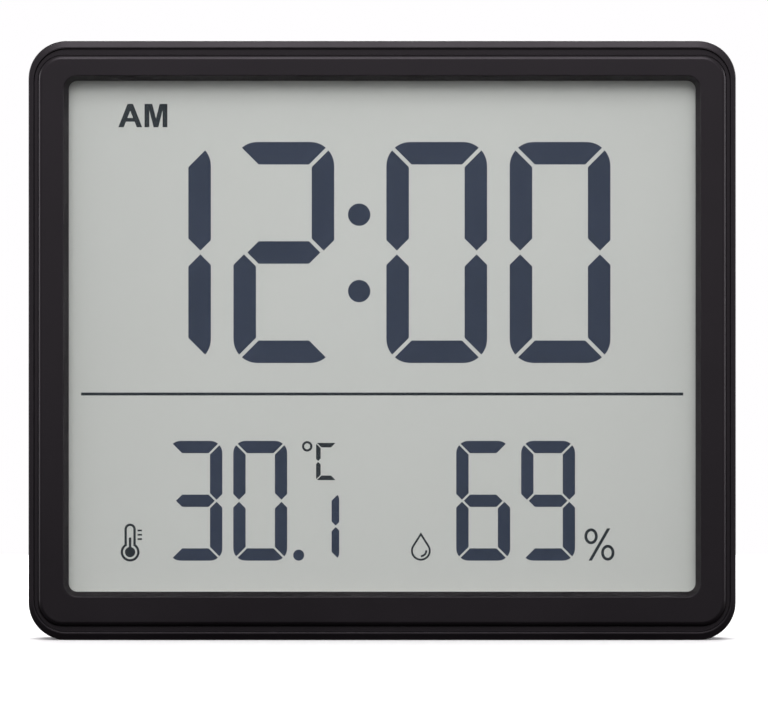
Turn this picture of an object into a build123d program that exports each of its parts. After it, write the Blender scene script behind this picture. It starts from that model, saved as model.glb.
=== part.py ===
from build123d import *

import math
import os

# Slim desk and wall clock with a thermometer and a hygrometer behind one large segment display.
#
# Millimetres, +Z up. X runs across the display, the front faces -Y, and the origin is the middle of
# the underside of the case. The case stands upright on its flat lower edge with its stand folded.
#
# The front is a raised frame inside the rim of a deep rear case, with a shadow groove between them.
# Behind the bezel come a gasket, the display, its carrier frame and an L-shaped circuit board. The
# rear case holds two cells under a hooked door, a fold-out stand on a steel pin, four push buttons,
# air slots for the sensors and a keyhole for a wall screw.

# Case outline, seen from the front
case_width = 142.0
case_height = 120.3
case_corner_radius = 7.6
side_rim = 1.1
end_rim = 1.6
side_slope_width = 0.85
end_slope_width = 1.25
rim_slope_drop = 0.35
rim_edge_round = 0.25
rim_inner_round = 0.15
back_round = 2.5
side_wall = 2.1
end_wall = 3.3
back_wall = 1.8
cavity_corner_radius = 5.0

# Bezel and its window
side_border = 8.05
top_border = 8.0
bottom_border = 9.7
frame_side_inset = 1.87
frame_end_inset = 2.75
frame_corner_radius = 5.0
frame_edge_round = 1.0
bezel_thickness = 1.8
bezel_proud = 0.5
groove_depth = 1.1
bezel_gap = 0.1
window_corner_radius = 1.75
window_bevel = 1.0
window_lip = 0.3
bevel_edge_round = 0.15
clip_thickness = 1.0
clip_length = 8.0
clip_gap = 0.2
clip_hook = 0.5
clip_hook_depth = 0.9
end_clip_spacing = 80.0
side_clip_spacing = 50.0

# Display cell
gasket_thickness = 0.2
gasket_width = 1.3
gasket_setback = 0.3
film_thickness = 0.18
film_bond = 0.02
glass_thickness = 1.1
mark_thickness = 0.06
mark_gap = 0.02
reflector_thickness = 0.28
reflector_bond = 0.02
glass_side_margin = 2.65
glass_top_margin = 1.7
glass_bottom_margin = 3.5
rear_glass_bottom_margin = 0.7
seal_width = 0.6

# Time digits: places across are from the middle of the window, and rises are shares of its height
time_width = 20.26
time_height = 44.46
time_stroke = 4.53
time_gap = 0.75
time_corner_radius = 4.8
time_pitch = 24.8
time_rise_share = 0.1643
hours_offset = -32.18
minutes_offset = 23.38
colon_offset = -4.63
colon_diameter = 4.49
colon_spacing = 15.38
colon_drop = 0.08

# Temperature digits, placed from the window's left edge, and humidity digits, from its middle
reading_width = 10.85
reading_height = 24.1
reading_stroke = 2.48
reading_gap = 0.4
reading_corner_radius = 2.47
reading_pitch = 13.05
reading_rise_share = -0.3224
temperature_inset = 31.9
humidity_offset = 26.85
tenths_width = 6.2
tenths_height = 13.82
tenths_stroke = 1.55
tenths_gap = 0.3
tenths_corner_radius = 1.6
tenths_inset = 51.22
point_diameter = 2.22
point_inset = 46.16

# Unit signs, letters and the dividing line
unit_width = 4.07
unit_height = 7.5
unit_stroke = 0.92
unit_gap = 0.2
unit_corner_radius = 0.42
unit_inset = 51.69
unit_rise_share = -0.2454
degree_diameter = 2.11
degree_stroke = 0.46
degree_inset = 47.87
degree_rise_share = -0.2157
percent_width = 6.05
percent_height = 6.5
percent_ring_width = 2.69
percent_ring_height = 3.19
percent_stroke = 0.58
percent_slash_run = 3.72
percent_slash_width = 0.68
percent_offset = 43.7
letter_height = 4.7
letter_stem = 0.97
letter_a_stem = 1.1
letter_a_width = 4.82
letter_m_width = 4.6
letter_space = 0.46
a_bar_low_share = 0.24
a_bar_high_share = 0.4
m_shoulder_share = 1.6
m_notch_share = 0.38
m_armpit_share = 0.72
letters_inset = 9.87
letters_rise_share = 0.4098
divider_inset = 2.38
divider_thickness = 0.6
divider_rise_share = -0.1131

# Thermometer and droplet icons
icon_stroke = 0.4
glass_stroke = 0.48
bulb_radius = 1.9
bulb_inset = 12.25
bulb_drop = 0.17
mercury_radius = 1.03
mercury_width = 0.51
mercury_height = 2.7
tube_width = 2.26
tube_height = 4.6
tick_count = 3
tick_length = 0.9
tick_thickness = 0.35
tick_pitch = 0.865
tick_gap = 0.36
tick_drop = 1.39
drop_radius = 1.99
drop_height = 3.72
drop_offset = 7.78
gleam_radius = 1.08
gleam_angle = 95.0

# Carrier frame behind the display
carrier_wall = 1.0
carrier_clearance = 0.2
carrier_flange = 2.6
carrier_corner_radius = 1.5
carrier_bay_gap = 2.9
carrier_board_lip = 1.5
carrier_top_band = 11.0
boss_radius = 2.9
boss_height = 2.6
boss_side_inset = 10.0
boss_bottom_inset = 13.5
boss_top_inset = 15.3

# Board and what is on it
board_thickness = 1.2
board_boss_gap = 2.6
board_bottom_inset = 6.3
board_strip_height = 17.7
board_column_width = 28.5
board_top_inset = 22.3
board_corner_radius = 1.0
strip_end_inset = 5.5
strip_width = 1.8
strip_edge_inset = 0.4
strip_clearance = 0.25
part_seat_gap = 0.02
blob_radius = 6.0
blob_height = 1.3
blob_side_offset = -8.0
blob_rise = 9.5
crystal_radius = 1.0
crystal_length = 6.0
crystal_side_offset = 12.0
chip_length = 1.6
chip_width = 0.8
chip_height = 0.6
chip_pitch = 3.2
chip_count = 5
chip_side_offset = 20.0
chip_rise = 6.5
sensor_width = 5.0
sensor_thickness = 2.4
sensor_hole_radius = 0.8
sensor_hole_depth = 0.6
sensor_edge_inset = 12.0
sensor_drop = 8.0
thermistor_radius = 1.1
thermistor_lead = 5.0
thermistor_lead_radius = 0.25
thermistor_spacing = 1.2
thermistor_edge_inset = 6.0
switch_width = 6.0
switch_height = 3.2
plunger_height = 1.1
plunger_depth = 1.2
plunger_clearance = 0.05
board_screw_radius = 0.9
board_screw_length = 3.2
board_screw_head_radius = 1.7
board_screw_head_height = 1.1
board_screw_edge = 3.4
board_screw_clearance = 0.1
pilot_clearance = 0.02
cross_width_share = 0.28
cross_length_share = 1.2
cross_depth_share = 0.5

# Buttons in their sunk panel
button_side_inset = 26.0
button_drop = 28.0
button_pitch = 12.0
button_radius = 3.5
button_clearance = 0.2
button_round = 0.5
button_flange = 0.9
button_flange_thickness = 0.8
button_flange_gap = 0.2
button_stem_radius = 1.6
button_rise = 0.6
button_travel = 0.5
panel_depth = 0.8
panel_margin = 3.6
panel_corner_radius = 5.0

# Cells, their bay and the contacts
cell_diameter = 10.3
cell_length = 44.5
cell_rim_round = 0.6
cell_pitch = 10.8
nub_radius = 1.9
nub_height = 0.9
bay_floor_gap = 0.1
bay_floor = 0.6
cell_clearance = 0.2
bay_side_inset = 29.0
bay_board_gap = 3.6
bay_side_clearance = 0.95
bay_wall = 1.4
contact_sheet = 0.3
contact_size = 8.0
contact_bump = 0.9
contact_bump_radius = 2.2
contact_tab_width = 2.5
contact_tab_overlap = 6.0
contact_slot_clearance = 0.15
spring_wire_radius = 0.3
spring_radius = 2.9
spring_turns = 4
spring_length = 5.0
spring_seat_gap = 0.02

# Battery door
door_thickness = 1.6
door_gap = 0.4
door_clearance = 0.2
door_side_margin = 2.5
door_end_margin = 4.6
door_corner_radius = 2.0
door_edge_round = 0.25
door_shelf = 1.5
tab_width = 6.0
tab_thickness = 1.0
tab_reach = 1.7
tab_root = 1.6
tab_spacing = 14.0
tab_clearance = 0.3
grip_count = 5
grip_length = 12.0
grip_width = 0.7
grip_depth = 0.4
grip_pitch = 1.6
grip_inset = 5.0
scoop_radius = 6.5
scoop_depth = 1.2

# Stand leg, its recess and its pin
stand_open_angle = 28.0
hinge_z = 64.0
leg_door_gap = 5.4
leg_thickness = 3.0
leg_tip_z = 3.4
leg_tip_radius = 5.0
leg_edge_round = 0.4
leg_side_clearance = 0.4
leg_back_clearance = 0.1
leg_floor_clearance = 0.3
leg_heel = 2.5
leg_panel_margin = 4.0
leg_panel_depth = 0.5
leg_panel_radius = 2.0
leg_rib_count = 4
leg_rib_pitch = 2.4
leg_rib_width = 1.1
leg_rib_height = 0.4
leg_rib_inset = 4.0
leg_core_depth = 1.1
leg_core_count = 3
leg_core_rib = 1.6
leg_core_end = 6.0
leg_scoop_rise = 12.0
stop_clearance = 0.05
recess_wall = 1.5
pin_radius = 0.8
pin_seat = 1.2
pin_press_clearance = 0.01
pin_running_clearance = 0.05

# Keyhole, air slots and case screws
keyhole_drop = 17.3
keyhole_radius = 4.0
keyhole_slot_width = 4.2
keyhole_travel = 7.0
keyhole_pocket_depth = 3.6
keyhole_pocket_margin = 1.2
keyhole_wall = 1.2
vent_count = 5
vent_length = 14.0
vent_width = 1.1
vent_pitch = 2.4
screw_radius = 1.2
screw_length = 7.0
screw_head_radius = 2.3
screw_head_height = 1.6
screw_clearance = 0.2
screw_well_clearance = 0.4
screw_post_wall = 1.3
screw_seat = 2.4

# Every cut runs past the face it opens by this much
overrun = 1.0

# Faces and edges are picked out by their depth, to within this much
depth_match = 0.001

# Depths, worked out from the stack of pieces between the bezel and the battery door
crystal_thickness = mark_thickness + 2 * mark_gap
display_thickness = (
    film_thickness + film_bond + 2 * glass_thickness + crystal_thickness
    + reflector_bond + reflector_thickness
)
case_depth = (
    bezel_thickness + gasket_thickness + display_thickness + bay_floor_gap + bay_floor
    + cell_clearance + cell_diameter + door_gap + door_thickness
)
front_y = -case_depth / 2
back_y = case_depth / 2
crest_y = front_y + bezel_proud
groove_y = front_y + groove_depth
seat_y = front_y + bezel_thickness
film_y = seat_y + gasket_thickness
film_back_y = film_y + film_thickness
front_glass_y = film_back_y + film_bond
crystal_y = front_glass_y + glass_thickness
mark_y = crystal_y + mark_gap
rear_glass_y = crystal_y + crystal_thickness
reflector_y = rear_glass_y + glass_thickness + reflector_bond
display_back_y = film_y + display_thickness
board_front_y = display_back_y + carrier_flange
board_back_y = board_front_y + board_thickness
bay_floor_y = display_back_y + bay_floor_gap
bay_inner_y = bay_floor_y + bay_floor
cell_y = bay_inner_y + cell_clearance + cell_diameter / 2
door_inner_y = back_y - door_thickness
shelf_y = door_inner_y - door_shelf
inner_back_y = back_y - back_wall

# Outlines of the case and of the window
case_z = case_height / 2
rim_width = case_width - 2 * side_rim
rim_height = case_height - 2 * end_rim
rim_corner_radius = case_corner_radius - side_rim
cavity_width = case_width - 2 * side_wall
cavity_height = case_height - 2 * end_wall
window_width = case_width - 2 * side_border
window_height = case_height - top_border - bottom_border
window_z = bottom_border + window_height / 2

# Places of the display's marks, from the middle of the window
window_left = -window_width / 2
time_rise = window_height * time_rise_share
reading_rise = window_height * reading_rise_share
reading_foot = reading_rise - reading_height / 2
temperature_offset = window_left + temperature_inset
tenths_offset = window_left + tenths_inset
point_offset = window_left + point_inset

# Outlines of the glasses and of the carrier
glass_width = window_width + 2 * glass_side_margin
glass_top_z = window_z + window_height / 2 + glass_top_margin
glass_bottom_z = bottom_border - glass_bottom_margin
rear_glass_bottom_z = bottom_border - rear_glass_bottom_margin
carrier_edge = carrier_clearance + carrier_wall
carrier_width = glass_width + 2 * carrier_edge
carrier_top_z = glass_top_z + carrier_edge
carrier_bottom_z = glass_bottom_z - carrier_edge
clip_end_y = board_front_y + clip_hook_depth

# Places on the board
board_right_x = case_width / 2 - boss_side_inset - boss_radius - board_boss_gap
board_left_x = -board_right_x
board_top_z = case_height - board_top_inset
board_column_height = board_top_z - board_bottom_inset
strip_top_z = board_bottom_inset + board_strip_height
strip_length = board_right_x - board_left_x - 2 * strip_end_inset
column_right_x = board_left_x + board_column_width
sensor_x = board_left_x + sensor_edge_inset + sensor_width / 2
sensor_z = board_top_z - sensor_drop

# Places of the buttons
button_count = 4
button_x = button_side_inset - case_width / 2
button_low_z = board_top_z - button_drop - (button_count - 1) * button_pitch
button_mid_z = button_low_z + (button_count - 1) * button_pitch / 2
panel_y = back_y - panel_depth
button_face_y = panel_y + button_rise
flange_back_y = inner_back_y - button_flange_gap
flange_front_y = flange_back_y - button_flange_thickness
switch_top_y = board_back_y + switch_height
plunger_top_y = switch_top_y + plunger_height

# The cells' bay and the door over it
bay_x = case_width / 2 - bay_side_inset
bay_bottom_z = strip_top_z + bay_board_gap + bay_wall
bay_width = cell_pitch + cell_diameter + 2 * bay_side_clearance
bay_height = 2 * contact_sheet + contact_bump + cell_length + spring_length
bay_top_z = bay_bottom_z + bay_height
bay_z = bay_bottom_z + bay_height / 2
door_width = bay_width + 2 * door_side_margin
door_height = bay_height + 2 * door_end_margin
door_top_z = bay_z + door_height / 2
door_bottom_z = bay_z - door_height / 2
door_hinge_z = door_top_z + door_clearance
tab_back_y = inner_back_y - tab_clearance
tab_front_y = tab_back_y - tab_thickness
tab_top_z = door_hinge_z + tab_reach
tab_swing = math.hypot(back_y - tab_front_y, door_clearance + tab_root)

# The stand's hinge, and its width between the door and the buttons
shelf_left_x = bay_x - door_width / 2 - door_clearance - door_shelf
recess_half_width = shelf_left_x - leg_door_gap - recess_wall
leg_width = 2 * (recess_half_width - leg_side_clearance)
leg_front_y = back_y - leg_back_clearance - leg_thickness
leg_back_y = back_y - leg_back_clearance
hinge_y = leg_front_y + leg_thickness / 2
recess_y = leg_front_y - leg_floor_clearance
heel_swing = math.hypot(leg_thickness / 2, leg_heel)
recess_top_z = hinge_z + heel_swing + leg_side_clearance
recess_bottom_z = leg_tip_z - leg_side_clearance

# Keyhole and case screws
keyhole_z = case_height - keyhole_drop
boss_x = case_width / 2 - boss_side_inset
boss_rows = (boss_bottom_inset, case_height - boss_top_inset)
boss_spots = [(side * boss_x, z) for side in (-1, 1) for z in boss_rows]
boss_back_y = board_front_y + boss_height
screw_seat_y = boss_back_y + screw_seat
well_radius = screw_head_radius + screw_well_clearance


def facing(y):
    """Plane at depth y that faces the viewer, with X across and Z up."""
    return Plane(origin=(0, y, 0), x_dir=(1, 0, 0), z_dir=(0, -1, 0))


def slab(outline, front, back):
    """Solid between two depths, with an outline drawn as it is seen from the front."""
    return extrude(facing(front) * outline, amount=back - front, dir=(0, 1, 0))


def rounded(width, height, radius, x, z):
    """Rectangle with round corners about a place on the front view."""
    return Pos(x, z) * RectangleRounded(width, height, radius)


def block(left, right, bottom, top):
    """Plain rectangle between four edges of the front view."""
    return Pos((left + right) / 2, (bottom + top) / 2) * Rectangle(right - left, top - bottom)


def rod(radius, front, back, x, z):
    """Round bar along Y between two depths."""
    return slab(Pos(x, z) * Circle(radius), front, back)


def flat_face(solid, y):
    """The largest flat face at depth y."""
    flat = solid.faces().filter_by(Axis.Y).filter_by_position(Axis.Y, y - depth_match, y + depth_match)
    return flat.sort_by(SortBy.AREA)[-1]


def outer_edges(solid, y):
    """Edges round the outside of the flat face at depth y."""
    return flat_face(solid, y).outer_wire().edges()


def finger_scoop(x, z):
    """Shallow dish in the back face, for a fingertip."""
    ball = (scoop_radius**2 + scoop_depth**2) / (2 * scoop_depth)
    return Pos(x, back_y + ball - scoop_depth, z) * Sphere(ball)


def cross_screw(head_radius, head_height, shank_radius, shank_length):
    """Pan head screw with a cross recess, its head's seat at Y = 0 and its head towards +Y."""
    head = rod(head_radius, 0, head_height, 0, 0)
    head = fillet(outer_edges(head, head_height), head_height / 2)
    arm = head_radius * cross_length_share
    cut = Rectangle(arm, head_radius * cross_width_share)
    cross = cut + Rot(0, 0, 90) * cut
    recess = slab(cross, head_height * (1 - cross_depth_share), head_height + overrun)
    return head - recess + rod(shank_radius, -shank_length, 0, 0, 0)


def spring_coil():
    """Open coil about Z from Z = 0, two tangent arcs to every quarter turn."""
    climb = (spring_length - 2 * spring_wire_radius - 2 * spring_seat_gap) / spring_turns
    rise = climb / (2 * math.pi)
    start = spring_wire_radius + spring_seat_gap

    def point(angle):
        across = (spring_radius * math.cos(angle), spring_radius * math.sin(angle))
        return Vector(*across, start + rise * angle)

    def heading(angle):
        across = (-spring_radius * math.sin(angle), spring_radius * math.cos(angle))
        return Vector(*across, rise).normalized()

    arcs = []
    steps = 4 * spring_turns
    for step in range(steps):
        angles = (step * math.pi / 2, (step + 1) * math.pi / 2)
        first, last = (point(angle) for angle in angles)
        leaving, arriving = (heading(angle) for angle in angles)
        chord = last - first
        turn = 2 * (1 - leaving.dot(arriving))
        along = chord.dot(leaving + arriving)
        reach = (math.sqrt(along**2 + turn * chord.dot(chord)) - along) / turn
        joint = (first + leaving * reach + last - arriving * reach) * 0.5
        arcs.append(TangentArc(first, joint, tangent=leaving))
        arcs.append(TangentArc(joint, last, tangent=arcs[-1] % 1))
    section = Plane(origin=point(0), z_dir=heading(0)) * Circle(spring_wire_radius)
    return sweep(section, path=Wire(arcs)), climb


# Case


def case_shell():
    """Tray with a rim that slopes outwards, a rebate for the bezel and round back edges."""
    outline = rounded(case_width, case_height, case_corner_radius, 0, case_z)
    crest_width = case_width - 2 * side_slope_width
    crest_height = case_height - 2 * end_slope_width
    crest = rounded(crest_width, crest_height, case_corner_radius - side_slope_width, 0, case_z)
    slope_foot_y = crest_y + rim_slope_drop
    shell = slab(outline, slope_foot_y, back_y)
    shell += loft([facing(crest_y) * crest.face(), facing(slope_foot_y) * outline.face()], ruled=True)
    foot = shell.edges().filter_by_position(Axis.Y, slope_foot_y - depth_match, slope_foot_y + depth_match)
    shell = fillet(foot, rim_edge_round)
    shell = fillet(outer_edges(shell, back_y), back_round)
    shell -= slab(rounded(rim_width, rim_height, rim_corner_radius, 0, case_z), crest_y - overrun, seat_y)
    shell = fillet(flat_face(shell, crest_y).inner_wires()[0].edges(), rim_inner_round)
    cavity = rounded(cavity_width, cavity_height, cavity_corner_radius, 0, case_z)
    return shell - slab(cavity, crest_y - overrun, inner_back_y)


def door_outline(spread):
    """Outline of the battery door, grown by a clearance."""
    return rounded(
        door_width + 2 * spread, door_height + 2 * spread, door_corner_radius + spread, bay_x, bay_z
    )


def bay_block():
    """Walls of the cell bay and the shelf that the door lies on."""
    walls = Pos(bay_x, bay_z) * Rectangle(bay_width + 2 * bay_wall, bay_height + 2 * bay_wall)
    shelf = door_outline(door_clearance + door_shelf)
    return slab(walls, bay_floor_y, inner_back_y) + slab(shelf, shelf_y, inner_back_y)


def bay_cuts():
    """Room for the cells, the door, its swinging tabs and the contacts' tongues."""
    floor = Pos(bay_x, bay_z) * Rectangle(bay_width, bay_height)
    room = slab(floor, bay_inner_y, back_y + overrun)
    room += slab(door_outline(door_clearance), door_inner_y, back_y + overrun)
    for side in (-1, 1):
        x = bay_x + side * tab_spacing / 2
        half = tab_width / 2 + tab_clearance
        below = block(x - half, x + half, door_hinge_z - tab_swing, door_hinge_z)
        above = block(x - half, x + half, door_hinge_z, tab_top_z + tab_clearance)
        room += slab(below, shelf_y - overrun, back_y)
        room += slab(above, shelf_y - overrun, inner_back_y)
    for side in (-1, 1):
        x = bay_x + side * cell_pitch / 2
        half = contact_tab_width / 2 + contact_slot_clearance
        slot = block(x - half, x + half, bay_bottom_z - bay_wall - overrun, bay_bottom_z)
        back = board_back_y + contact_sheet + contact_slot_clearance
        room += slab(slot, board_back_y - contact_slot_clearance, back)
    return room


def stand_block():
    """Tub behind the back wall that the stand folds into."""
    half = recess_half_width + recess_wall
    outline = block(-half, half, recess_bottom_z - recess_wall, recess_top_z + recess_wall)
    return slab(outline, recess_y - recess_wall, inner_back_y)


def stand_cuts():
    """The stand's recess, its finger scoops and the seats of its pin."""
    outline = block(-recess_half_width, recess_half_width, recess_bottom_z, recess_top_z)
    room = slab(outline, recess_y, back_y + overrun)
    for side in (-1, 1):
        room += finger_scoop(side * recess_half_width, recess_bottom_z + leg_scoop_rise)
    seat = Cylinder(pin_radius + pin_press_clearance, 2 * (recess_half_width + pin_seat))
    return room + Pos(0, hinge_y, hinge_z) * Rot(0, 90, 0) * seat


def keyhole_pocket(spread):
    """Outline of the pocket behind the keyhole, grown by a wall."""
    half = keyhole_radius + keyhole_pocket_margin + spread
    top = keyhole_z + keyhole_travel + keyhole_slot_width / 2 + keyhole_pocket_margin + spread
    return block(-half, half, keyhole_z - half, top)


def keyhole_block():
    """Closed pocket behind the keyhole, for the head of a wall screw."""
    front = inner_back_y - keyhole_pocket_depth - keyhole_wall
    return slab(keyhole_pocket(keyhole_wall), front, inner_back_y)


def keyhole_cuts():
    """Round mouth, upward slot and the pocket behind them."""
    pocket = slab(keyhole_pocket(0), inner_back_y - keyhole_pocket_depth, inner_back_y)
    mouth = rod(keyhole_radius, inner_back_y, back_y + overrun, 0, keyhole_z)
    half = keyhole_slot_width / 2
    track = block(-half, half, keyhole_z, keyhole_z + keyhole_travel)
    end = rod(half, inner_back_y, back_y + overrun, 0, keyhole_z + keyhole_travel)
    return pocket + mouth + slab(track, inner_back_y, back_y + overrun) + end


def button_z(number):
    """Height of a button, counted from the lowest."""
    return button_low_z + number * button_pitch


def button_cuts():
    """Sunk panel and the four button holes."""
    width = 2 * (button_radius + panel_margin)
    height = (button_count - 1) * button_pitch + width
    panel = rounded(width, height, panel_corner_radius, button_x, button_mid_z)
    room = slab(panel, panel_y, back_y + overrun)
    for number in range(button_count):
        hole = button_radius + button_clearance
        room += rod(hole, inner_back_y - overrun, back_y, button_x, button_z(number))
    return room


def vent_cuts():
    """Air slots over the sensors."""
    slots = []
    for number in range(vent_count):
        z = sensor_z + (number - (vent_count - 1) / 2) * vent_pitch
        slot = Pos(sensor_x, z) * SlotOverall(vent_length, vent_width)
        slots.append(slab(slot, inner_back_y - overrun, back_y + overrun))
    return slots


def rear_case():
    """Rear case with its bay, stand tub, keyhole pocket and screw posts."""
    case = case_shell() + bay_block() + stand_block() + keyhole_block()
    for x, z in boss_spots:
        case += rod(well_radius + screw_post_wall, boss_back_y, inner_back_y, x, z)
    case = case - bay_cuts() - stand_cuts() - keyhole_cuts() - button_cuts() - vent_cuts()
    case -= finger_scoop(bay_x, door_bottom_z - door_clearance)
    for x, z in boss_spots:
        case -= rod(well_radius, screw_seat_y, back_y + overrun, x, z)
        case -= rod(screw_radius + screw_clearance, boss_back_y - overrun, back_y, x, z)
    return case


# Bezel and display


def snap_clip():
    """Clip behind the bezel: its outer side faces +Z and its hook points down."""
    reach = clip_gap + clip_hook
    profile = Polygon(
        (seat_y, 0),
        (board_front_y, 0),
        (board_front_y, -reach),
        (clip_end_y, 0),
        (clip_end_y, clip_thickness),
        (seat_y, clip_thickness),
        align=None,
    )
    return extrude(Plane.YZ * profile, amount=clip_length / 2, both=True)


def front_bezel():
    """Flange, raised frame with a round edge, bevelled window and eight snap clips."""
    flange_width = rim_width - 2 * bezel_gap
    flange_height = rim_height - 2 * bezel_gap
    flange = slab(
        rounded(flange_width, flange_height, rim_corner_radius - bezel_gap, 0, case_z), groove_y, seat_y
    )
    frame_width = case_width - 2 * frame_side_inset
    frame_height = case_height - 2 * frame_end_inset
    frame = slab(rounded(frame_width, frame_height, frame_corner_radius, 0, case_z), front_y, seat_y)
    bezel = flange + fillet(outer_edges(frame, front_y), frame_edge_round)
    wide = rounded(
        window_width + 2 * window_bevel, window_height + 2 * window_bevel,
        window_corner_radius + window_bevel, 0, window_z,
    )
    opening = rounded(window_width, window_height, window_corner_radius, 0, window_z)
    lip_y = seat_y - window_lip
    bezel -= loft([facing(front_y) * wide.face(), facing(lip_y) * opening.face()], ruled=True)
    bezel -= slab(opening, front_y - overrun, seat_y + overrun)
    face = bezel.faces().filter_by(Axis.Y).sort_by(Axis.Y)[0]
    bezel = fillet(face.inner_wires()[0].edges(), bevel_edge_round)
    clip = snap_clip()
    for side in (-1, 1):
        x = side * end_clip_spacing / 2
        bezel += Pos(x, 0, carrier_top_z + clip_gap) * clip
        bezel += Pos(x, 0, carrier_bottom_z - clip_gap) * Rot(0, 180, 0) * clip
        for step in (-1, 1):
            z = window_z + step * side_clip_spacing / 2
            bezel += Pos(side * (carrier_width / 2 + clip_gap), 0, z) * Rot(0, side * 90, 0) * clip
    return bezel


def window_ring(inset, width, front, back):
    """Flat ring behind the window's edge."""
    inner = inset + width
    ring = Pos(0, window_z) * Rectangle(window_width + 2 * inner, window_height + 2 * inner)
    ring -= Pos(0, window_z) * Rectangle(window_width + 2 * inset, window_height + 2 * inset)
    return slab(ring, front, back)


def front_polariser():
    """Film on the front glass, as wide as the gasket that presses on it."""
    margin = gasket_setback + gasket_width
    film = Pos(0, window_z) * Rectangle(window_width + 2 * margin, window_height + 2 * margin)
    return slab(film, film_y, film_back_y)


def glass_plate(bottom, front, back):
    """Sheet across the whole display from a bottom edge to the shared top edge."""
    return slab(block(-glass_width / 2, glass_width / 2, bottom, glass_top_z), front, back)


def display_seal():
    """Thin seal line between the two glasses."""
    half = glass_width / 2
    inner = half - seal_width
    ring = block(-half, half, rear_glass_bottom_z, glass_top_z)
    ring -= block(-inner, inner, rear_glass_bottom_z + seal_width, glass_top_z - seal_width)
    return slab(ring, crystal_y, rear_glass_y)


def segment_digit(width, height, stroke, gap, radius, lit):
    """Lit bars of one seven-segment digit, mitred at the corners and pointed at the waist."""
    half_w = width / 2
    half_h = height / 2
    shift = gap / math.sqrt(2)
    tip = gap / 2
    waist = stroke / 2 - shift
    cap = [
        (shift - half_w, half_h),
        (half_w - shift, half_h),
        (half_w - stroke - shift, half_h - stroke),
        (stroke + shift - half_w, half_h - stroke),
    ]
    post = [
        (-half_w, half_h - shift),
        (stroke - half_w, half_h - stroke - shift),
        (stroke - half_w, stroke / 2 + shift),
        (waist + tip - half_w, tip),
        (-half_w, waist + 2 * tip),
    ]
    bar = [
        (stroke / 2 + shift - half_w, 0),
        (stroke + shift - half_w, stroke / 2),
        (half_w - stroke - shift, stroke / 2),
        (half_w - stroke / 2 - shift, 0),
        (half_w - stroke - shift, -stroke / 2),
        (stroke + shift - half_w, -stroke / 2),
    ]
    places = {
        "a": (cap, 1, 1), "d": (cap, 1, -1), "f": (post, 1, 1), "b": (post, -1, 1),
        "e": (post, 1, -1), "c": (post, -1, -1), "g": (bar, 1, 1),
    }
    outline = RectangleRounded(width, height, radius)
    marks = []
    for name in lit:
        points, flip_x, flip_z = places[name]
        shape = Polygon(*[(x * flip_x, z * flip_z) for x, z in points], align=None)
        marks += (shape & outline).faces()
    return marks


LIT = {
    "0": "abcdef", "1": "bc", "2": "abdeg", "3": "abcdg", "6": "acdefg", "9": "abcdfg", "C": "adef",
}


def marks_at(faces, x, z):
    """Marks of the display layer, moved to a place measured from the middle of the window."""
    return [slab(Pos(x, window_z + z) * face, mark_y, mark_y + mark_thickness).solid() for face in faces]


def time_digit(text, x):
    """One large digit of the time."""
    faces = segment_digit(
        time_width, time_height, time_stroke, time_gap, time_corner_radius, LIT[text]
    )
    return marks_at(faces, x, time_rise)


def reading_digit(text, x):
    """One digit of the temperature or the humidity."""
    faces = segment_digit(
        reading_width, reading_height, reading_stroke, reading_gap, reading_corner_radius, LIT[text]
    )
    return marks_at(faces, x, reading_rise)


def time_segments():
    """Hours, colon and minutes."""
    half = time_pitch / 2
    marks = time_digit("1", hours_offset - half) + time_digit("2", hours_offset + half)
    marks += time_digit("0", minutes_offset - half) + time_digit("0", minutes_offset + half)
    for side in (-1, 1):
        dot = Circle(colon_diameter / 2).faces()
        marks += marks_at(dot, colon_offset, time_rise - colon_drop + side * colon_spacing / 2)
    return marks


def temperature_segments():
    """Two large digits, the point and the small digit for tenths, level at their feet."""
    marks = reading_digit("3", temperature_offset - reading_pitch / 2)
    marks += reading_digit("0", temperature_offset + reading_pitch / 2)
    marks += marks_at(Circle(point_diameter / 2).faces(), point_offset, reading_foot + point_diameter / 2)
    tenths = segment_digit(
        tenths_width, tenths_height, tenths_stroke, tenths_gap, tenths_corner_radius, LIT["1"]
    )
    return marks + marks_at(tenths, tenths_offset, reading_foot + tenths_height / 2)


def humidity_segments():
    """Two large digits."""
    left = reading_digit("6", humidity_offset - reading_pitch / 2)
    return left + reading_digit("9", humidity_offset + reading_pitch / 2)


def letter_a():
    """Capital A from its left foot, with a counter and an open foot."""
    mid = letter_a_width / 2
    apex = letter_a_stem / 2
    foot = letter_a_stem
    bar_low = letter_height * a_bar_low_share
    bar_high = letter_height * a_bar_high_share
    slope = (mid - apex) / letter_height
    outer = Polygon(
        (0, 0), (mid - apex, letter_height), (mid + apex, letter_height), (letter_a_width, 0), align=None
    )
    notch = Polygon(
        (foot, 0), (foot + slope * bar_low, bar_low),
        (letter_a_width - foot - slope * bar_low, bar_low), (letter_a_width - foot, 0), align=None,
    )
    tip = (mid - foot) / slope
    counter = Polygon(
        (foot + slope * bar_high, bar_high), (mid, tip),
        (letter_a_width - foot - slope * bar_high, bar_high), align=None,
    )
    return outer - notch - counter


def letter_m():
    """Capital M from its left foot."""
    mid = letter_m_width / 2
    shoulder = letter_stem * m_shoulder_share
    point = letter_stem / 2
    notch = letter_height * m_notch_share
    armpit = letter_height * m_armpit_share
    points = [
        (0, 0), (0, letter_height), (shoulder, letter_height), (mid, notch),
        (letter_m_width - shoulder, letter_height), (letter_m_width, letter_height), (letter_m_width, 0),
        (letter_m_width - letter_stem, 0), (letter_m_width - letter_stem, armpit),
        (mid + point, 0), (mid - point, 0), (letter_stem, armpit), (letter_stem, 0),
    ]
    return Polygon(*points, align=None)


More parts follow.
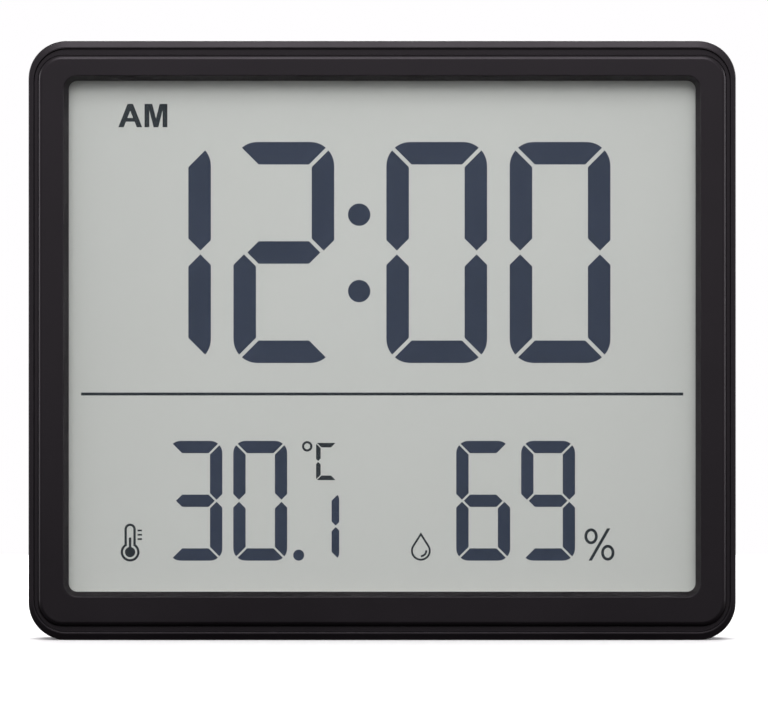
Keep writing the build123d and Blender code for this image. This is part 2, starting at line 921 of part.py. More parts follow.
def percent_sign():
    """Two oval rings and a slash about the middle of the sign."""
    ring = Ellipse(percent_ring_width / 2, percent_ring_height / 2)
    ring -= Ellipse(percent_ring_width / 2 - percent_stroke, percent_ring_height / 2 - percent_stroke)
    x = (percent_width - percent_ring_width) / 2
    z = (percent_height - percent_ring_height) / 2
    run = percent_slash_run / 2
    rise = percent_height / 2
    half = percent_slash_width / 2
    slash = Polygon(
        (-run - half, -rise), (half - run, -rise), (run + half, rise), (run - half, rise), align=None
    )
    return [(Pos(-x, z) * ring).face(), (Pos(x, -z) * ring).face(), slash.face()]


def thermometer_icon():
    """Outlined bulb and tube with a filled column, and scale ticks beside the tube."""
    def glass(bulb, width, height):
        stem = Rectangle(width, height, align=(Align.CENTER, Align.MIN))
        return Circle(bulb) + stem + Pos(0, height) * Circle(width / 2)

    inner_width = tube_width - 2 * glass_stroke
    shell = glass(bulb_radius, tube_width, tube_height)
    shell -= glass(bulb_radius - glass_stroke, inner_width, tube_height)
    column = glass(mercury_radius, mercury_width, mercury_height)
    faces = shell.faces() + column.faces()
    tick_x = tube_width / 2 + tick_gap + tick_length / 2
    for number in range(tick_count):
        z = tube_height + tube_width / 2 - tick_drop - number * tick_pitch
        faces += (Pos(tick_x, z) * Rectangle(tick_length, tick_thickness)).faces()
    return faces


def drop_shape(radius, height):
    """Round drop with a point above it, its straight sides tangent to the round."""
    lean = math.acos(radius / height)
    x = radius * math.sin(lean)
    z = radius * math.cos(lean)
    round_foot = ThreePointArc((x, z), (0, -radius), (-x, z))
    return make_face([round_foot, Line((-x, z), (0, height)), Line((0, height), (x, z))])


def droplet_icon():
    """Outlined drop with a curved gleam inside."""
    inner = drop_radius - icon_stroke
    shell = drop_shape(drop_radius, drop_height) - drop_shape(inner, drop_height * inner / drop_radius)
    arc = CenterArc((0, 0), gleam_radius, -90, gleam_angle)
    gleam = trace(arc, line_width=icon_stroke)
    return shell.faces() + gleam.faces()


def display_marks():
    """Letters, unit signs and icons."""
    a_left = window_left + letters_inset
    letters_rise = window_height * letters_rise_share
    marks = marks_at(letter_a().faces(), a_left, letters_rise)
    marks += marks_at(letter_m().faces(), a_left + letter_a_width + letter_space, letters_rise)
    ring = Circle(degree_diameter / 2) - Circle(degree_diameter / 2 - degree_stroke)
    marks += marks_at(ring.faces(), window_left + degree_inset, window_height * degree_rise_share)
    unit = segment_digit(unit_width, unit_height, unit_stroke, unit_gap, unit_corner_radius, LIT["C"])
    marks += marks_at(unit, window_left + unit_inset, window_height * unit_rise_share)
    marks += marks_at(percent_sign(), percent_offset, reading_foot + percent_height / 2)
    marks += marks_at(thermometer_icon(), window_left + bulb_inset, reading_foot + bulb_radius - bulb_drop)
    return marks + marks_at(droplet_icon(), drop_offset, reading_foot + drop_radius)


def display_divider():
    """Line between the time and the readings."""
    line = Rectangle(window_width - 2 * divider_inset, divider_thickness).faces()
    return marks_at(line, 0, window_height * divider_rise_share)


# Carrier, board and what is on the board


def board_screw_spots():
    """Places of the board's screws, a fixed distance in from its edges."""
    left = board_left_x + board_screw_edge
    right = board_right_x - board_screw_edge
    low = board_bottom_inset + board_screw_edge
    high = strip_top_z - board_screw_edge
    top = board_top_z - board_screw_edge
    inner = column_right_x - board_screw_edge
    return [(left, low), (right, low), (right, high), (0, high), (left, top), (inner, top)]


def contact_strip_outline(spread):
    """Outline of the elastomer strip, grown by a clearance."""
    z = glass_bottom_z + strip_edge_inset + strip_width / 2
    return Pos(0, z) * Rectangle(strip_length + 2 * spread, strip_width + 2 * spread)


def display_carrier():
    """Frame round the glasses with a deep flange behind them and four bosses for the case screws."""
    middle = (carrier_top_z + carrier_bottom_z) / 2
    outline = rounded(carrier_width, carrier_top_z - carrier_bottom_z, carrier_corner_radius, 0, middle)
    frame = slab(outline, seat_y, board_front_y)
    half = glass_width / 2 + carrier_clearance
    pocket = block(-half, half, glass_bottom_z - carrier_clearance, glass_top_z + carrier_clearance)
    frame -= slab(pocket, seat_y - overrun, display_back_y)
    opening = block(
        column_right_x + carrier_board_lip, bay_x + bay_width / 2 + bay_wall + carrier_bay_gap,
        strip_top_z + carrier_board_lip, carrier_top_z - carrier_top_band,
    )
    frame -= slab(opening, display_back_y - overrun, board_front_y + overrun)
    frame -= slab(contact_strip_outline(strip_clearance), display_back_y - overrun, board_front_y + overrun)
    for x, z in boss_spots:
        frame += rod(boss_radius, board_front_y, boss_back_y, x, z)
        frame -= rod(screw_radius + pilot_clearance, display_back_y, boss_back_y + overrun, x, z)
    for x, z in board_screw_spots():
        frame -= rod(board_screw_radius + pilot_clearance, display_back_y, board_front_y + overrun, x, z)
    return frame


def main_board():
    """L-shaped board: a strip under the cells and a column behind the buttons."""
    middle = (board_bottom_inset + strip_top_z) / 2
    strip = rounded(board_right_x - board_left_x, board_strip_height, board_corner_radius, 0, middle)
    column = rounded(
        board_column_width, board_column_height, board_corner_radius,
        (board_left_x + column_right_x) / 2, (board_bottom_inset + board_top_z) / 2,
    )
    board = slab(strip + column, board_front_y, board_back_y)
    for x, z in board_screw_spots():
        hole = board_screw_radius + board_screw_clearance
        board -= rod(hole, board_front_y - overrun, board_back_y + overrun, x, z)
    return board


def contact_strip():
    """Elastomer strip from the ledge of the front glass to the board."""
    return slab(contact_strip_outline(0), crystal_y, board_front_y)


def controller_blob():
    """Epoxy dome over the bonded chip."""
    ball = (blob_radius**2 + blob_height**2) / (2 * blob_height)
    z = board_bottom_inset + blob_rise
    dome = Pos(blob_side_offset, board_back_y + blob_height - ball, z) * Sphere(ball)
    return dome & rod(blob_radius, board_back_y, board_back_y + 2 * blob_height, blob_side_offset, z)


def clock_crystal():
    """Small metal can of the clock crystal, lying on the board."""
    can = fillet(Cylinder(crystal_radius, crystal_length).edges(), crystal_radius / 4)
    y = board_back_y + crystal_radius + part_seat_gap
    return Pos(crystal_side_offset, y, board_bottom_inset + blob_rise) * Rot(0, 90, 0) * can


def chip_components():
    """Two rows of small chip components."""
    chips = []
    for number in range(chip_count):
        for row in (0, 1):
            x = chip_side_offset + number * chip_pitch
            z = board_bottom_inset + chip_rise + row * chip_pitch
            outline = Pos(x, z) * Rectangle(chip_length, chip_width)
            chips.append(slab(outline, board_back_y, board_back_y + chip_height).solid())
    return chips


def humidity_sensor():
    """Square sensor with a round air hole."""
    top = board_back_y + sensor_thickness
    body = slab(Pos(sensor_x, sensor_z) * Rectangle(sensor_width, sensor_width), board_back_y, top)
    return body - rod(sensor_hole_radius, top - sensor_hole_depth, top + overrun, sensor_x, sensor_z)


def temperature_sensor():
    """Thermistor bead on two leads."""
    x = board_left_x + thermistor_edge_inset
    bead = Pos(x, board_back_y + thermistor_lead, sensor_z) * Sphere(thermistor_radius)
    for side in (-1, 1):
        z = sensor_z + side * thermistor_spacing / 2
        bead += rod(thermistor_lead_radius, board_back_y, board_back_y + thermistor_lead, x, z)
    return bead


def tact_switches():
    """Four switch bodies with a bore for each plunger."""
    bodies = []
    for number in range(button_count):
        z = button_z(number)
        body = slab(Pos(button_x, z) * Rectangle(switch_width, switch_width), board_back_y, switch_top_y)
        floor = switch_top_y - plunger_depth - button_travel - plunger_clearance
        bore = rod(button_stem_radius + plunger_clearance, floor, switch_top_y + overrun, button_x, z)
        bodies.append((body - bore).solid())
    return bodies


def switch_plunger(number):
    """Plunger that stands in its switch and meets the button's stem."""
    return rod(button_stem_radius, switch_top_y - plunger_depth, plunger_top_y, button_x, button_z(number))


def push_button(number):
    """Button with a round cap, a flange that keeps it in the case and a stem to its switch."""
    z = button_z(number)
    cap = rod(button_radius, flange_back_y, button_face_y, button_x, z)
    cap = fillet(outer_edges(cap, button_face_y), button_round)
    flange = rod(button_radius + button_flange, flange_front_y, flange_back_y, button_x, z)
    return cap + flange + rod(button_stem_radius, plunger_top_y, flange_front_y, button_x, z)


# Cells and contacts


def cell(side):
    """One cell, its positive nub up on the left and down on the right."""
    barrel_length = cell_length - nub_height
    barrel = Cylinder(cell_diameter / 2, barrel_length, align=(Align.CENTER, Align.CENTER, Align.MIN))
    barrel = fillet(barrel.edges(), cell_rim_round)
    nub = Cylinder(nub_radius, nub_height, align=(Align.CENTER, Align.CENTER, Align.MIN))
    whole = barrel + Pos(0, 0, barrel_length) * nub
    x = bay_x + side * cell_pitch / 2
    if side < 0:
        return Pos(x, cell_y, bay_bottom_z + contact_sheet + spring_length) * whole
    return Pos(x, cell_y, bay_top_z - contact_sheet - spring_length) * Rot(180, 0, 0) * whole


def contact_bump_on(x, z, direction):
    """Pressed bump that meets a cell's nub."""
    bump = Cylinder(contact_bump_radius, contact_bump, align=(Align.CENTER, Align.CENTER, Align.MIN))
    bump = fillet(bump.faces().sort_by(Axis.Z)[-1].edges(), contact_bump / 2)
    return Pos(x, cell_y, z) * Rot(0 if direction > 0 else 180, 0, 0) * bump


def end_sheet(left, right, bottom):
    """Contact sheet across one end of the bay."""
    half = contact_size / 2
    return slab(block(left, right, bottom, bottom + contact_sheet), cell_y - half, cell_y + half)


def board_contact(side):
    """Contact at the lower end of one cell, with a tongue down to the board."""
    x = bay_x + side * cell_pitch / 2
    sheet = end_sheet(x - contact_size / 2, x + contact_size / 2, bay_bottom_z)
    half = contact_tab_width / 2
    tongue = block(x - half, x + half, strip_top_z - contact_tab_overlap, bay_bottom_z + contact_sheet)
    sheet += slab(tongue, board_back_y, board_back_y + contact_sheet)
    if side > 0:
        sheet += contact_bump_on(x, bay_bottom_z + contact_sheet, 1)
    return sheet


def link_contact():
    """Sheet that joins the upper ends of both cells."""
    half = (cell_pitch + contact_size) / 2
    sheet = end_sheet(bay_x - half, bay_x + half, bay_top_z - contact_sheet)
    return sheet + contact_bump_on(bay_x - cell_pitch / 2, bay_top_z - contact_sheet, -1)


def contact_springs():
    """Springs that press on the negative ends: below the left cell and above the right one."""
    coil, climb = spring_coil()
    print("spring turns", spring_turns, "gap between turns", round(climb - 2 * spring_wire_radius, 3))
    low = Pos(bay_x - cell_pitch / 2, cell_y, bay_bottom_z + contact_sheet) * coil
    high = Pos(bay_x + cell_pitch / 2, cell_y, bay_top_z - contact_sheet) * Rot(180, 0, 0) * coil
    return low, high


# Door, stand and fasteners


def battery_door():
    """Flat door with two hooked tabs at its top and finger grooves near its foot."""
    door = slab(door_outline(0), door_inner_y, back_y)
    door = fillet(outer_edges(door, back_y), door_edge_round)
    for number in range(grip_count):
        z = door_bottom_z + grip_inset + number * grip_pitch
        groove = Pos(bay_x, z) * SlotOverall(grip_length, grip_width)
        door -= slab(groove, back_y - grip_depth, back_y + overrun)
    for side in (-1, 1):
        x = bay_x + side * tab_spacing / 2
        half = tab_width / 2
        door += slab(block(x - half, x + half, door_top_z - tab_root, door_top_z), tab_front_y, door_inner_y)
        door += slab(block(x - half, x + half, door_top_z - tab_root, tab_top_z), tab_front_y, tab_back_y)
    return door


def leg_profile():
    """Side view of the leg, with the slanted heel face that stops it on the recess floor."""
    angle = math.radians(stand_open_angle)
    half = leg_thickness / 2
    stop = hinge_y - recess_y - stop_clearance
    low = (stop - half * math.cos(angle)) / math.sin(angle)
    high = (leg_heel * math.sin(angle) - stop) / math.cos(angle)
    return Polygon(
        (leg_front_y, leg_tip_z),
        (leg_front_y, hinge_z + low),
        (hinge_y + high, hinge_z + leg_heel),
        (leg_back_y, hinge_z + leg_heel),
        (leg_back_y, leg_tip_z),
        align=None,
    )


def stand_leg():
    """Leg with round corners at its tip, a sunk outer panel, finger ribs and a cored inner face."""
    leg = extrude(Plane.YZ * leg_profile(), amount=leg_width / 2, both=True)
    corners = leg.edges().filter_by(Axis.Y).group_by(Axis.Z)[0]
    leg = fillet(corners, leg_tip_radius)
    leg = fillet(outer_edges(leg, leg_back_y), leg_edge_round)
    panel_half = leg_width / 2 - leg_panel_margin
    panel_low = leg_tip_z + leg_panel_margin
    panel_high = hinge_z - leg_panel_margin
    panel_z = (panel_low + panel_high) / 2
    panel = rounded(2 * panel_half, panel_high - panel_low, leg_panel_radius, 0, panel_z)
    floor = leg_back_y - leg_panel_depth
    leg -= slab(panel, floor, leg_back_y + overrun)
    for number in range(leg_rib_count):
        z = panel_low + leg_rib_inset + number * leg_rib_pitch
        rib = Pos(0, z) * SlotOverall(panel_half, leg_rib_width)
        leg += slab(rib, floor, floor + leg_rib_height)
    core_width = (leg_width - (leg_core_count + 1) * leg_core_rib) / leg_core_count
    for number in range(leg_core_count):
        left = leg_core_rib - leg_width / 2 + number * (core_width + leg_core_rib)
        core = block(left, left + core_width, leg_tip_z + leg_core_end, hinge_z - leg_core_end)
        leg -= slab(core, leg_front_y - overrun, leg_front_y + leg_core_depth)
    hole = Cylinder(pin_radius + pin_running_clearance, leg_width + 2 * overrun)
    return leg - Pos(0, hinge_y, hinge_z) * Rot(0, 90, 0) * hole


def stand_pin():
    """Steel pin through the leg, seated in both sides of the recess."""
    pin = Cylinder(pin_radius, 2 * (recess_half_width + pin_seat))
    pin = chamfer(pin.edges(), pin_radius / 4)
    return Pos(0, hinge_y, hinge_z) * Rot(0, 90, 0) * pin


def case_screws():
    """Four screws from the back of the case into the carrier's bosses."""
    screw = cross_screw(screw_head_radius, screw_head_height, screw_radius, screw_length)
    return [(Pos(x, screw_seat_y, z) * screw).solid() for x, z in boss_spots]


def board_screws():
    """Screws that hold the board on the carrier."""
    screw = cross_screw(
        board_screw_head_radius, board_screw_head_height, board_screw_radius, board_screw_length
    )
    return [(Pos(x, board_back_y, z) * screw).solid() for x, z in board_screw_spots()]


def all_nodes():
    """Every piece of the clock under its own name."""
    low_spring, high_spring = contact_springs()
    nodes = {
        "rear_case": rear_case(),
        "front_bezel": front_bezel(),
        "window_gasket": window_ring(gasket_setback, gasket_width, seat_y, film_y),
        "front_polariser": front_polariser(),
        "front_glass": glass_plate(glass_bottom_z, front_glass_y, crystal_y),
        "display_seal": display_seal(),
        "time_segments": time_segments(),
        "temperature_segments": temperature_segments(),
        "humidity_segments": humidity_segments(),
        "display_marks": display_marks(),
        "display_divider": display_divider(),
        "rear_glass": glass_plate(rear_glass_bottom_z, rear_glass_y, rear_glass_y + glass_thickness),
        "rear_reflector": glass_plate(rear_glass_bottom_z, reflector_y, display_back_y),
        "display_carrier": display_carrier(),
        "contact_strip": contact_strip(),
        "main_board": main_board(),
        "controller_blob": controller_blob(),
        "clock_crystal": clock_crystal(),
        "chip_components": chip_components(),
        "humidity_sensor": humidity_sensor(),
        "temperature_sensor": temperature_sensor(),
        "tact_switches": tact_switches(),
        "cell_left": cell(-1),
        "cell_right": cell(1),
        "negative_contact": board_contact(-1),
        "positive_contact": board_contact(1),
        "link_contact": link_contact(),
        "negative_spring": low_spring,
        "link_spring": high_spring,
        "battery_door": battery_door(),
        "stand_leg": stand_leg(),
        "stand_pin": stand_pin(),
        "case_screws": case_screws(),
        "board_screws": board_screws(),
    }
    for number, name in enumerate(("down", "up", "set", "mode")):
        nodes[f"{name}_button"] = push_button(number)
        nodes[f"{name}_plunger"] = switch_plunger(number)
    return nodes


os.makedirs("parts", exist_ok=True)
for node, shape in all_nodes().items():
    solid = Compound(shape) if isinstance(shape, list) else shape
    export_step(solid, f"parts/{node}.step")
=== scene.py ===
import math

import bmesh
import bpy
from mathutils import Euler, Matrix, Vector


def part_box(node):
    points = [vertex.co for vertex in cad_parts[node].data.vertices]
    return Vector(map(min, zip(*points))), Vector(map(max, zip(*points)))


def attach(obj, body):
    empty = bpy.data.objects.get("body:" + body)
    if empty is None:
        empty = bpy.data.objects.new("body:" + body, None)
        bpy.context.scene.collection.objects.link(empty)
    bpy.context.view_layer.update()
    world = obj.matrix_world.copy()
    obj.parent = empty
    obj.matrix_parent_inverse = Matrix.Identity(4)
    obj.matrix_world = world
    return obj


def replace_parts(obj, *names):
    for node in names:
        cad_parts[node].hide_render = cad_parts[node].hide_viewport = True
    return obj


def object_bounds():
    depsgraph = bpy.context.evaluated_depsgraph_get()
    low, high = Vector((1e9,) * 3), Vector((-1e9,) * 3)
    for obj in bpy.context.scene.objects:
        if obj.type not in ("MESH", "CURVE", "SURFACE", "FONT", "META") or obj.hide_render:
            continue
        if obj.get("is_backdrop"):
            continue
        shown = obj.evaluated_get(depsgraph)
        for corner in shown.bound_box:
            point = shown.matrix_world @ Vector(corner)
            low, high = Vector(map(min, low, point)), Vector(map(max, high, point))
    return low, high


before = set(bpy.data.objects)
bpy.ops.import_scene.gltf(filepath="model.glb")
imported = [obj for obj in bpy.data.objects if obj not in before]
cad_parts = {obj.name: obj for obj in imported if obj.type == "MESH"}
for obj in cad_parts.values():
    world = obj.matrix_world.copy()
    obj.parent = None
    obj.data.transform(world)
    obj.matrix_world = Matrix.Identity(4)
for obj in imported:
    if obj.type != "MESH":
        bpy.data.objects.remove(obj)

MM = 0.001
cad_low, cad_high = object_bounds()


# Rear case: one deep tray moulded in black ABS. Its outside is lightly spark-eroded, the recesses
# for the door, the stand and the buttons are in the mould, and the bezel snaps into its rim.

def add_node(tree, kind, inputs=None, **settings):
    """Adds a node, with its settings, and its inputs given as values or as the sockets that feed them."""
    made = tree.nodes.new(kind)
    for name, value in settings.items():
        setattr(made, name, value)
    for key, value in (inputs or {}).items():
        if isinstance(value, bpy.types.NodeSocket):
            tree.links.new(value, made.inputs[key])
        else:
            made.inputs[key].default_value = value
    return made


def worked_out(tree, operation, *values, clamp=False):
    """The output of a Math node that works on the values."""
    return add_node(tree, "ShaderNodeMath", dict(enumerate(values)), operation=operation,
                    use_clamp=clamp).outputs[0]


def laid_over(tree, factor, under, over):
    """The colour under, with the colour over laid on it by the factor."""
    return add_node(tree, "ShaderNodeMix", {0: factor, 6: under, 7: over}, data_type="RGBA").outputs[2]


def brought_to(tree, value, low, high, to_low=0.0, to_high=1.0):
    """The value, taken from the range low to high into the range to_low to to_high."""
    return add_node(tree, "ShaderNodeMapRange",
                    {0: value, 1: low, 2: high, 3: to_low, 4: to_high}).outputs[0]


def new_group(name, numbers, outputs):
    """An empty shader group, with its number inputs and their defaults, and its outputs."""
    group = bpy.data.node_groups.new(name, "ShaderNodeTree")
    for label, value in numbers.items():
        socket = group.interface.new_socket(label, in_out="INPUT", socket_type="NodeSocketFloat")
        socket.default_value = value
    for label in outputs:
        group.interface.new_socket(label, in_out="OUTPUT", socket_type="NodeSocketFloat")
    return group, group.nodes.new("NodeGroupInput").outputs, group.nodes.new("NodeGroupOutput").inputs


def moulded_grain_group():
    """Spark-eroded grain of a mould: its height, and a slow cloud of tone. Both scales are per metre."""
    numbers = {"Grains": 4000.0, "Clouds": 45.0}
    group, given, result = new_group("moulded_grain", numbers, ("Height", "Cloud"))
    where = add_node(group, "ShaderNodeTexCoord").outputs["Object"]
    fine = add_node(group, "ShaderNodeTexNoise",
                    {"Vector": where, "Scale": given["Grains"], "Detail": 2.0, "Roughness": 0.6})
    pits = add_node(group, "ShaderNodeTexVoronoi",
                    {"Vector": where, "Scale": worked_out(group, "MULTIPLY", given["Grains"], 0.6)})
    height = worked_out(group, "MULTIPLY_ADD", pits.outputs["Distance"], 0.5, fine.outputs["Fac"])
    cloud = add_node(group, "ShaderNodeTexNoise",
                     {"Vector": where, "Scale": given["Clouds"], "Detail": 3.0, "Roughness": 0.55})
    group.links.new(height, result["Height"])
    group.links.new(cloud.outputs["Fac"], result["Cloud"])
    return group


def rubbed_edge_group():
    """Mask of the edges within Reach metres, broken up in Patches per metre, as handling rubs them."""
    group, given, result = new_group("rubbed_edge", {"Reach": 0.0003, "Patches": 500.0}, ("Mask",))
    where = add_node(group, "ShaderNodeTexCoord").outputs["Object"]
    face = add_node(group, "ShaderNodeNewGeometry")
    rounded = add_node(group, "ShaderNodeBevel", {"Radius": given["Reach"]}, samples=2)
    turned = add_node(group, "ShaderNodeVectorMath",
                      {0: rounded.outputs["Normal"], 1: face.outputs["Normal"]}, operation="DOT_PRODUCT")
    patches = add_node(group, "ShaderNodeTexNoise",
                       {"Vector": where, "Scale": given["Patches"], "Detail": 3.0})
    mask = worked_out(group, "MULTIPLY", brought_to(group, turned.outputs["Value"], 0.995, 0.85),
                      brought_to(group, patches.outputs["Fac"], 0.42, 0.62), clamp=True)
    group.links.new(mask, result["Mask"])
    return group


def settled_dust_group():
    """Mask of the fine dust that lies on what faces up, with its Specks per metre and its Amount."""
    group, given, result = new_group("settled_dust", {"Specks": 900.0, "Amount": 0.3}, ("Mask",))
    where = add_node(group, "ShaderNodeTexCoord").outputs["Object"]
    face = add_node(group, "ShaderNodeNewGeometry")
    up = add_node(group, "ShaderNodeSeparateXYZ", {0: face.outputs["Normal"]}).outputs["Z"]
    specks = add_node(group, "ShaderNodeTexNoise",
                      {"Vector": where, "Scale": given["Specks"], "Detail": 5.0, "Roughness": 0.7})
    lying = worked_out(group, "MULTIPLY", brought_to(group, up, 0.35, 1.0),
                       brought_to(group, specks.outputs["Fac"], 0.45, 0.75))
    group.links.new(worked_out(group, "MULTIPLY", lying, given["Amount"]), result["Mask"])
    return group


moulded_grain = moulded_grain_group()
rubbed_edge = rubbed_edge_group()
settled_dust = settled_dust_group()


def place_group(tree, group, **values):
    """Puts a shader group in a material, with its own values, and returns its outputs."""
    made = add_node(tree, "ShaderNodeGroup")
    made.node_tree = group
    for label, value in values.items():
        made.inputs[label].default_value = value
    return made.outputs


def new_finish(name, roughness=0.5, metallic=0.0, specular=0.5, coat=0.0):
    """A material with its tree and the inputs of its Principled BSDF, where the plain numbers are set."""
    made = bpy.data.materials.new(name)
    made.use_nodes = True
    shader = made.node_tree.nodes["Principled BSDF"].inputs
    shader["Roughness"].default_value = roughness
    shader["Metallic"].default_value = metallic
    shader["Specular IOR Level"].default_value = specular
    shader["Coat Weight"].default_value = coat
    return made, made.node_tree, shader


def grain_bump(tree, shader, height, strength, depth):
    """Lets the height stand out of the surface, by at most the depth."""
    bump = add_node(tree, "ShaderNodeBump", {"Height": height, "Strength": strength, "Distance": depth})
    tree.links.new(bump.outputs["Normal"], shader["Normal"])


def dress(node_name, finish):
    """Gives a CAD node its finish."""
    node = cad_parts[node_name]
    node.data.materials.clear()
    node.data.materials.append(finish)


def moulded_abs(name, base, worn, roughness, grains, grain_depth, dust,
                specular=0.5, gleam=(1.0, 1.0, 1.0)):
    """Moulded ABS: grain, clouds of gloss, rubbed edges and dust. The gleam tints what it reflects."""
    finish, tree, shader = new_finish(name, specular=specular)
    shader["Specular Tint"].default_value = [*gleam, 1.0]
    grain = place_group(tree, moulded_grain, Grains=grains)
    edge = place_group(tree, rubbed_edge)
    lint = place_group(tree, settled_dust, Amount=dust)
    tint = laid_over(tree, brought_to(tree, grain["Cloud"], 0.3, 0.7), [*base, 1.0],
                     [*(c * 1.25 for c in base), 1.0])
    rubbed = laid_over(tree, edge["Mask"], tint, [*worn, 1.0])
    tree.links.new(laid_over(tree, lint["Mask"], rubbed, (0.30, 0.29, 0.27, 1.0)), shader["Base Color"])
    gloss = brought_to(tree, grain["Cloud"], 0.3, 0.7, roughness - 0.03, roughness + 0.03)
    tree.links.new(worked_out(tree, "MULTIPLY_ADD", edge["Mask"], -0.08, gloss), shader["Roughness"])
    grain_bump(tree, shader, grain["Height"], 0.25, grain_depth)
    return finish


CASE_BLACK = (0.0042, 0.0034, 0.0042)
RUBBED_BLACK = (0.016, 0.014, 0.016)
PLUM_GLEAM = (1.0, 0.90, 1.0)
coarse_grain_depth = 0.03 * MM
case_abs = moulded_abs("case_abs", CASE_BLACK, RUBBED_BLACK, 0.38, 3200.0, coarse_grain_depth, 0.05,
                       0.28, PLUM_GLEAM)
dress("rear_case", case_abs)


# Front bezel: a frame moulded in the same black ABS, its mould polished a little finer. It snaps
# into the rim of the rear case, leaves the shadow groove open and has a bevelled window.

bezel_grain_depth = 0.015 * MM
bezel_abs = moulded_abs("bezel_abs", CASE_BLACK, RUBBED_BLACK, 0.33, 5200.0, bezel_grain_depth, 0.02,
                        0.28, PLUM_GLEAM)
dress("front_bezel", bezel_abs)


# Window gasket: a die-cut ring of black closed-cell foam between the bezel and the display. It
# keeps dust out and takes up the play.

bubble_depth = 0.05 * MM


def closed_cell_foam():
    """Black foam with its cut bubbles, their pits painted darker as shade."""
    finish, tree, shader = new_finish("gasket_foam", roughness=0.9, specular=0.2)
    where = add_node(tree, "ShaderNodeTexCoord").outputs["Object"]
    bubbles = add_node(tree, "ShaderNodeTexVoronoi", {"Vector": where, "Scale": 5000.0}).outputs["Distance"]
    # The pits of the bubbles are painted darker than the cell walls between them: painted shade.
    tree.links.new(laid_over(tree, bubbles, (0.008, 0.008, 0.008, 1.0), (0.03, 0.03, 0.03, 1.0)),
                   shader["Base Color"])
    grain_bump(tree, shader, bubbles, 0.6, bubble_depth)
    return finish


dress("window_gasket", closed_cell_foam())


# Display cell: two panes of thin glass glued edge to edge round the liquid crystal, a satin
# polariser film on the front pane and a pearly reflector film behind the rear one.

def clear_pane(name, tint, cover, roughness):
    """Clear sheet that light goes straight through, with faint smears on it. Cover is how much it dims."""
    finish, tree, shader = new_finish(name)
    smear = place_group(tree, moulded_grain, Grains=1500.0, Clouds=18.0)["Cloud"]
    tree.links.new(brought_to(tree, smear, 0.35, 0.7, roughness, roughness + 0.10), shader["Roughness"])
    tree.links.new(brought_to(tree, smear, 0.3, 0.7, cover, cover * 1.15), shader["Alpha"])
    shader["Base Color"].default_value = [*tint, 1.0]
    return finish


dress("front_polariser", clear_pane("polariser_film", (0.03, 0.035, 0.035), 0.03, 0.30))
pane_glass = clear_pane("pane_glass", (0.20, 0.26, 0.23), 0.012, 0.05)
dress("front_glass", pane_glass)
dress("rear_glass", pane_glass)


flow_depth = 0.15 * MM


def cured_epoxy(name, dark, light, roughness):
    """Glossy poured or dabbed epoxy, clouded where it flowed."""
    finish, tree, shader = new_finish(name, roughness=roughness, coat=0.3)
    grain = place_group(tree, moulded_grain, Grains=900.0, Clouds=260.0)
    tree.links.new(laid_over(tree, grain["Cloud"], [*dark, 1.0], [*light, 1.0]), shader["Base Color"])
    grain_bump(tree, shader, grain["Cloud"], 0.4, flow_depth)
    return finish


dress("display_seal", cured_epoxy("edge_seal", (0.62, 0.60, 0.50), (0.80, 0.78, 0.70), 0.35))


def liquid_crystal(name, dark, light):
    """Switched liquid crystal: navy black, a touch uneven where the spacers hold the panes apart."""
    finish, tree, shader = new_finish(name, specular=0.1)
    grain = place_group(tree, moulded_grain, Grains=2500.0, Clouds=60.0)
    tone = worked_out(tree, "MULTIPLY_ADD", grain["Height"], 0.35, grain["Cloud"])
    tree.links.new(laid_over(tree, brought_to(tree, tone, 0.45, 1.0), [*dark, 1.0], [*light, 1.0]),
                   shader["Base Color"])
    return finish


def switch_on(node_name, finish):
    """Dresses segments that are switched on. They darken the light that passes, and throw no shadow."""
    dress(node_name, finish)
    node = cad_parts[node_name]
    node.visible_shadow = False
    node.visible_diffuse = False


segment_ink = liquid_crystal("segment_ink", (0.034, 0.046, 0.078), (0.042, 0.055, 0.092))
for digits in ("time_segments", "temperature_segments", "humidity_segments"):
    switch_on(digits, segment_ink)
mark_ink = liquid_crystal("mark_ink", (0.024, 0.030, 0.036), (0.032, 0.039, 0.047))
for marks in ("display_marks", "display_divider"):
    switch_on(marks, mark_ink)


def pearl_film():
    """Pearly grey-green reflector: fine mica grain under a satin face."""
    finish, tree, shader = new_finish("pearl_film", roughness=0.55)
    grain = place_group(tree, moulded_grain, Grains=6000.0, Clouds=22.0)
    pearl = laid_over(tree, brought_to(tree, grain["Height"], 0.3, 1.0),
                      (0.650, 0.675, 0.644, 1.0), (0.710, 0.736, 0.702, 1.0))
    tree.links.new(laid_over(tree, brought_to(tree, grain["Cloud"], 0.3, 0.7, 0.0, 0.35), pearl,
                             (0.69, 0.71, 0.67, 1.0)), shader["Base Color"])
    return finish


dress("rear_reflector", pearl_film())


# Display carrier: a frame moulded in natural white ABS. It holds the display in the bezel's clips,
# and the board is screwed to its posts.

natural_abs = moulded_abs("natural_abs", (0.62, 0.61, 0.56), (0.70, 0.69, 0.65), 0.45, 3000.0,
                          coarse_grain_depth, 0.1)
dress("display_carrier", natural_abs)


# Contact strip: a zebra strip of silicone, sliced from alternating black conducting and clear
# layers. It is squeezed between the glass's ledge and the gold pads of the board.

layer_pitch = 0.36 * MM
layer_step = 0.02 * MM


def zebra_silicone():
    """Thin black and pale layers along the strip."""
    finish, tree, shader = new_finish("zebra_silicone", roughness=0.6)
    where = add_node(tree, "ShaderNodeTexCoord").outputs["Object"]
    along = add_node(tree, "ShaderNodeSeparateXYZ", {0: where}).outputs["X"]
    layers = worked_out(tree, "SINE", worked_out(tree, "MULTIPLY", along, math.tau / layer_pitch))
    tree.links.new(laid_over(tree, brought_to(tree, layers, -0.15, 0.15), (0.02, 0.02, 0.02, 1.0),
                             (0.62, 0.42, 0.38, 1.0)), shader["Base Color"])
    grain_bump(tree, shader, layers, 0.3, layer_step)
    return finish


dress("contact_strip", zebra_silicone())


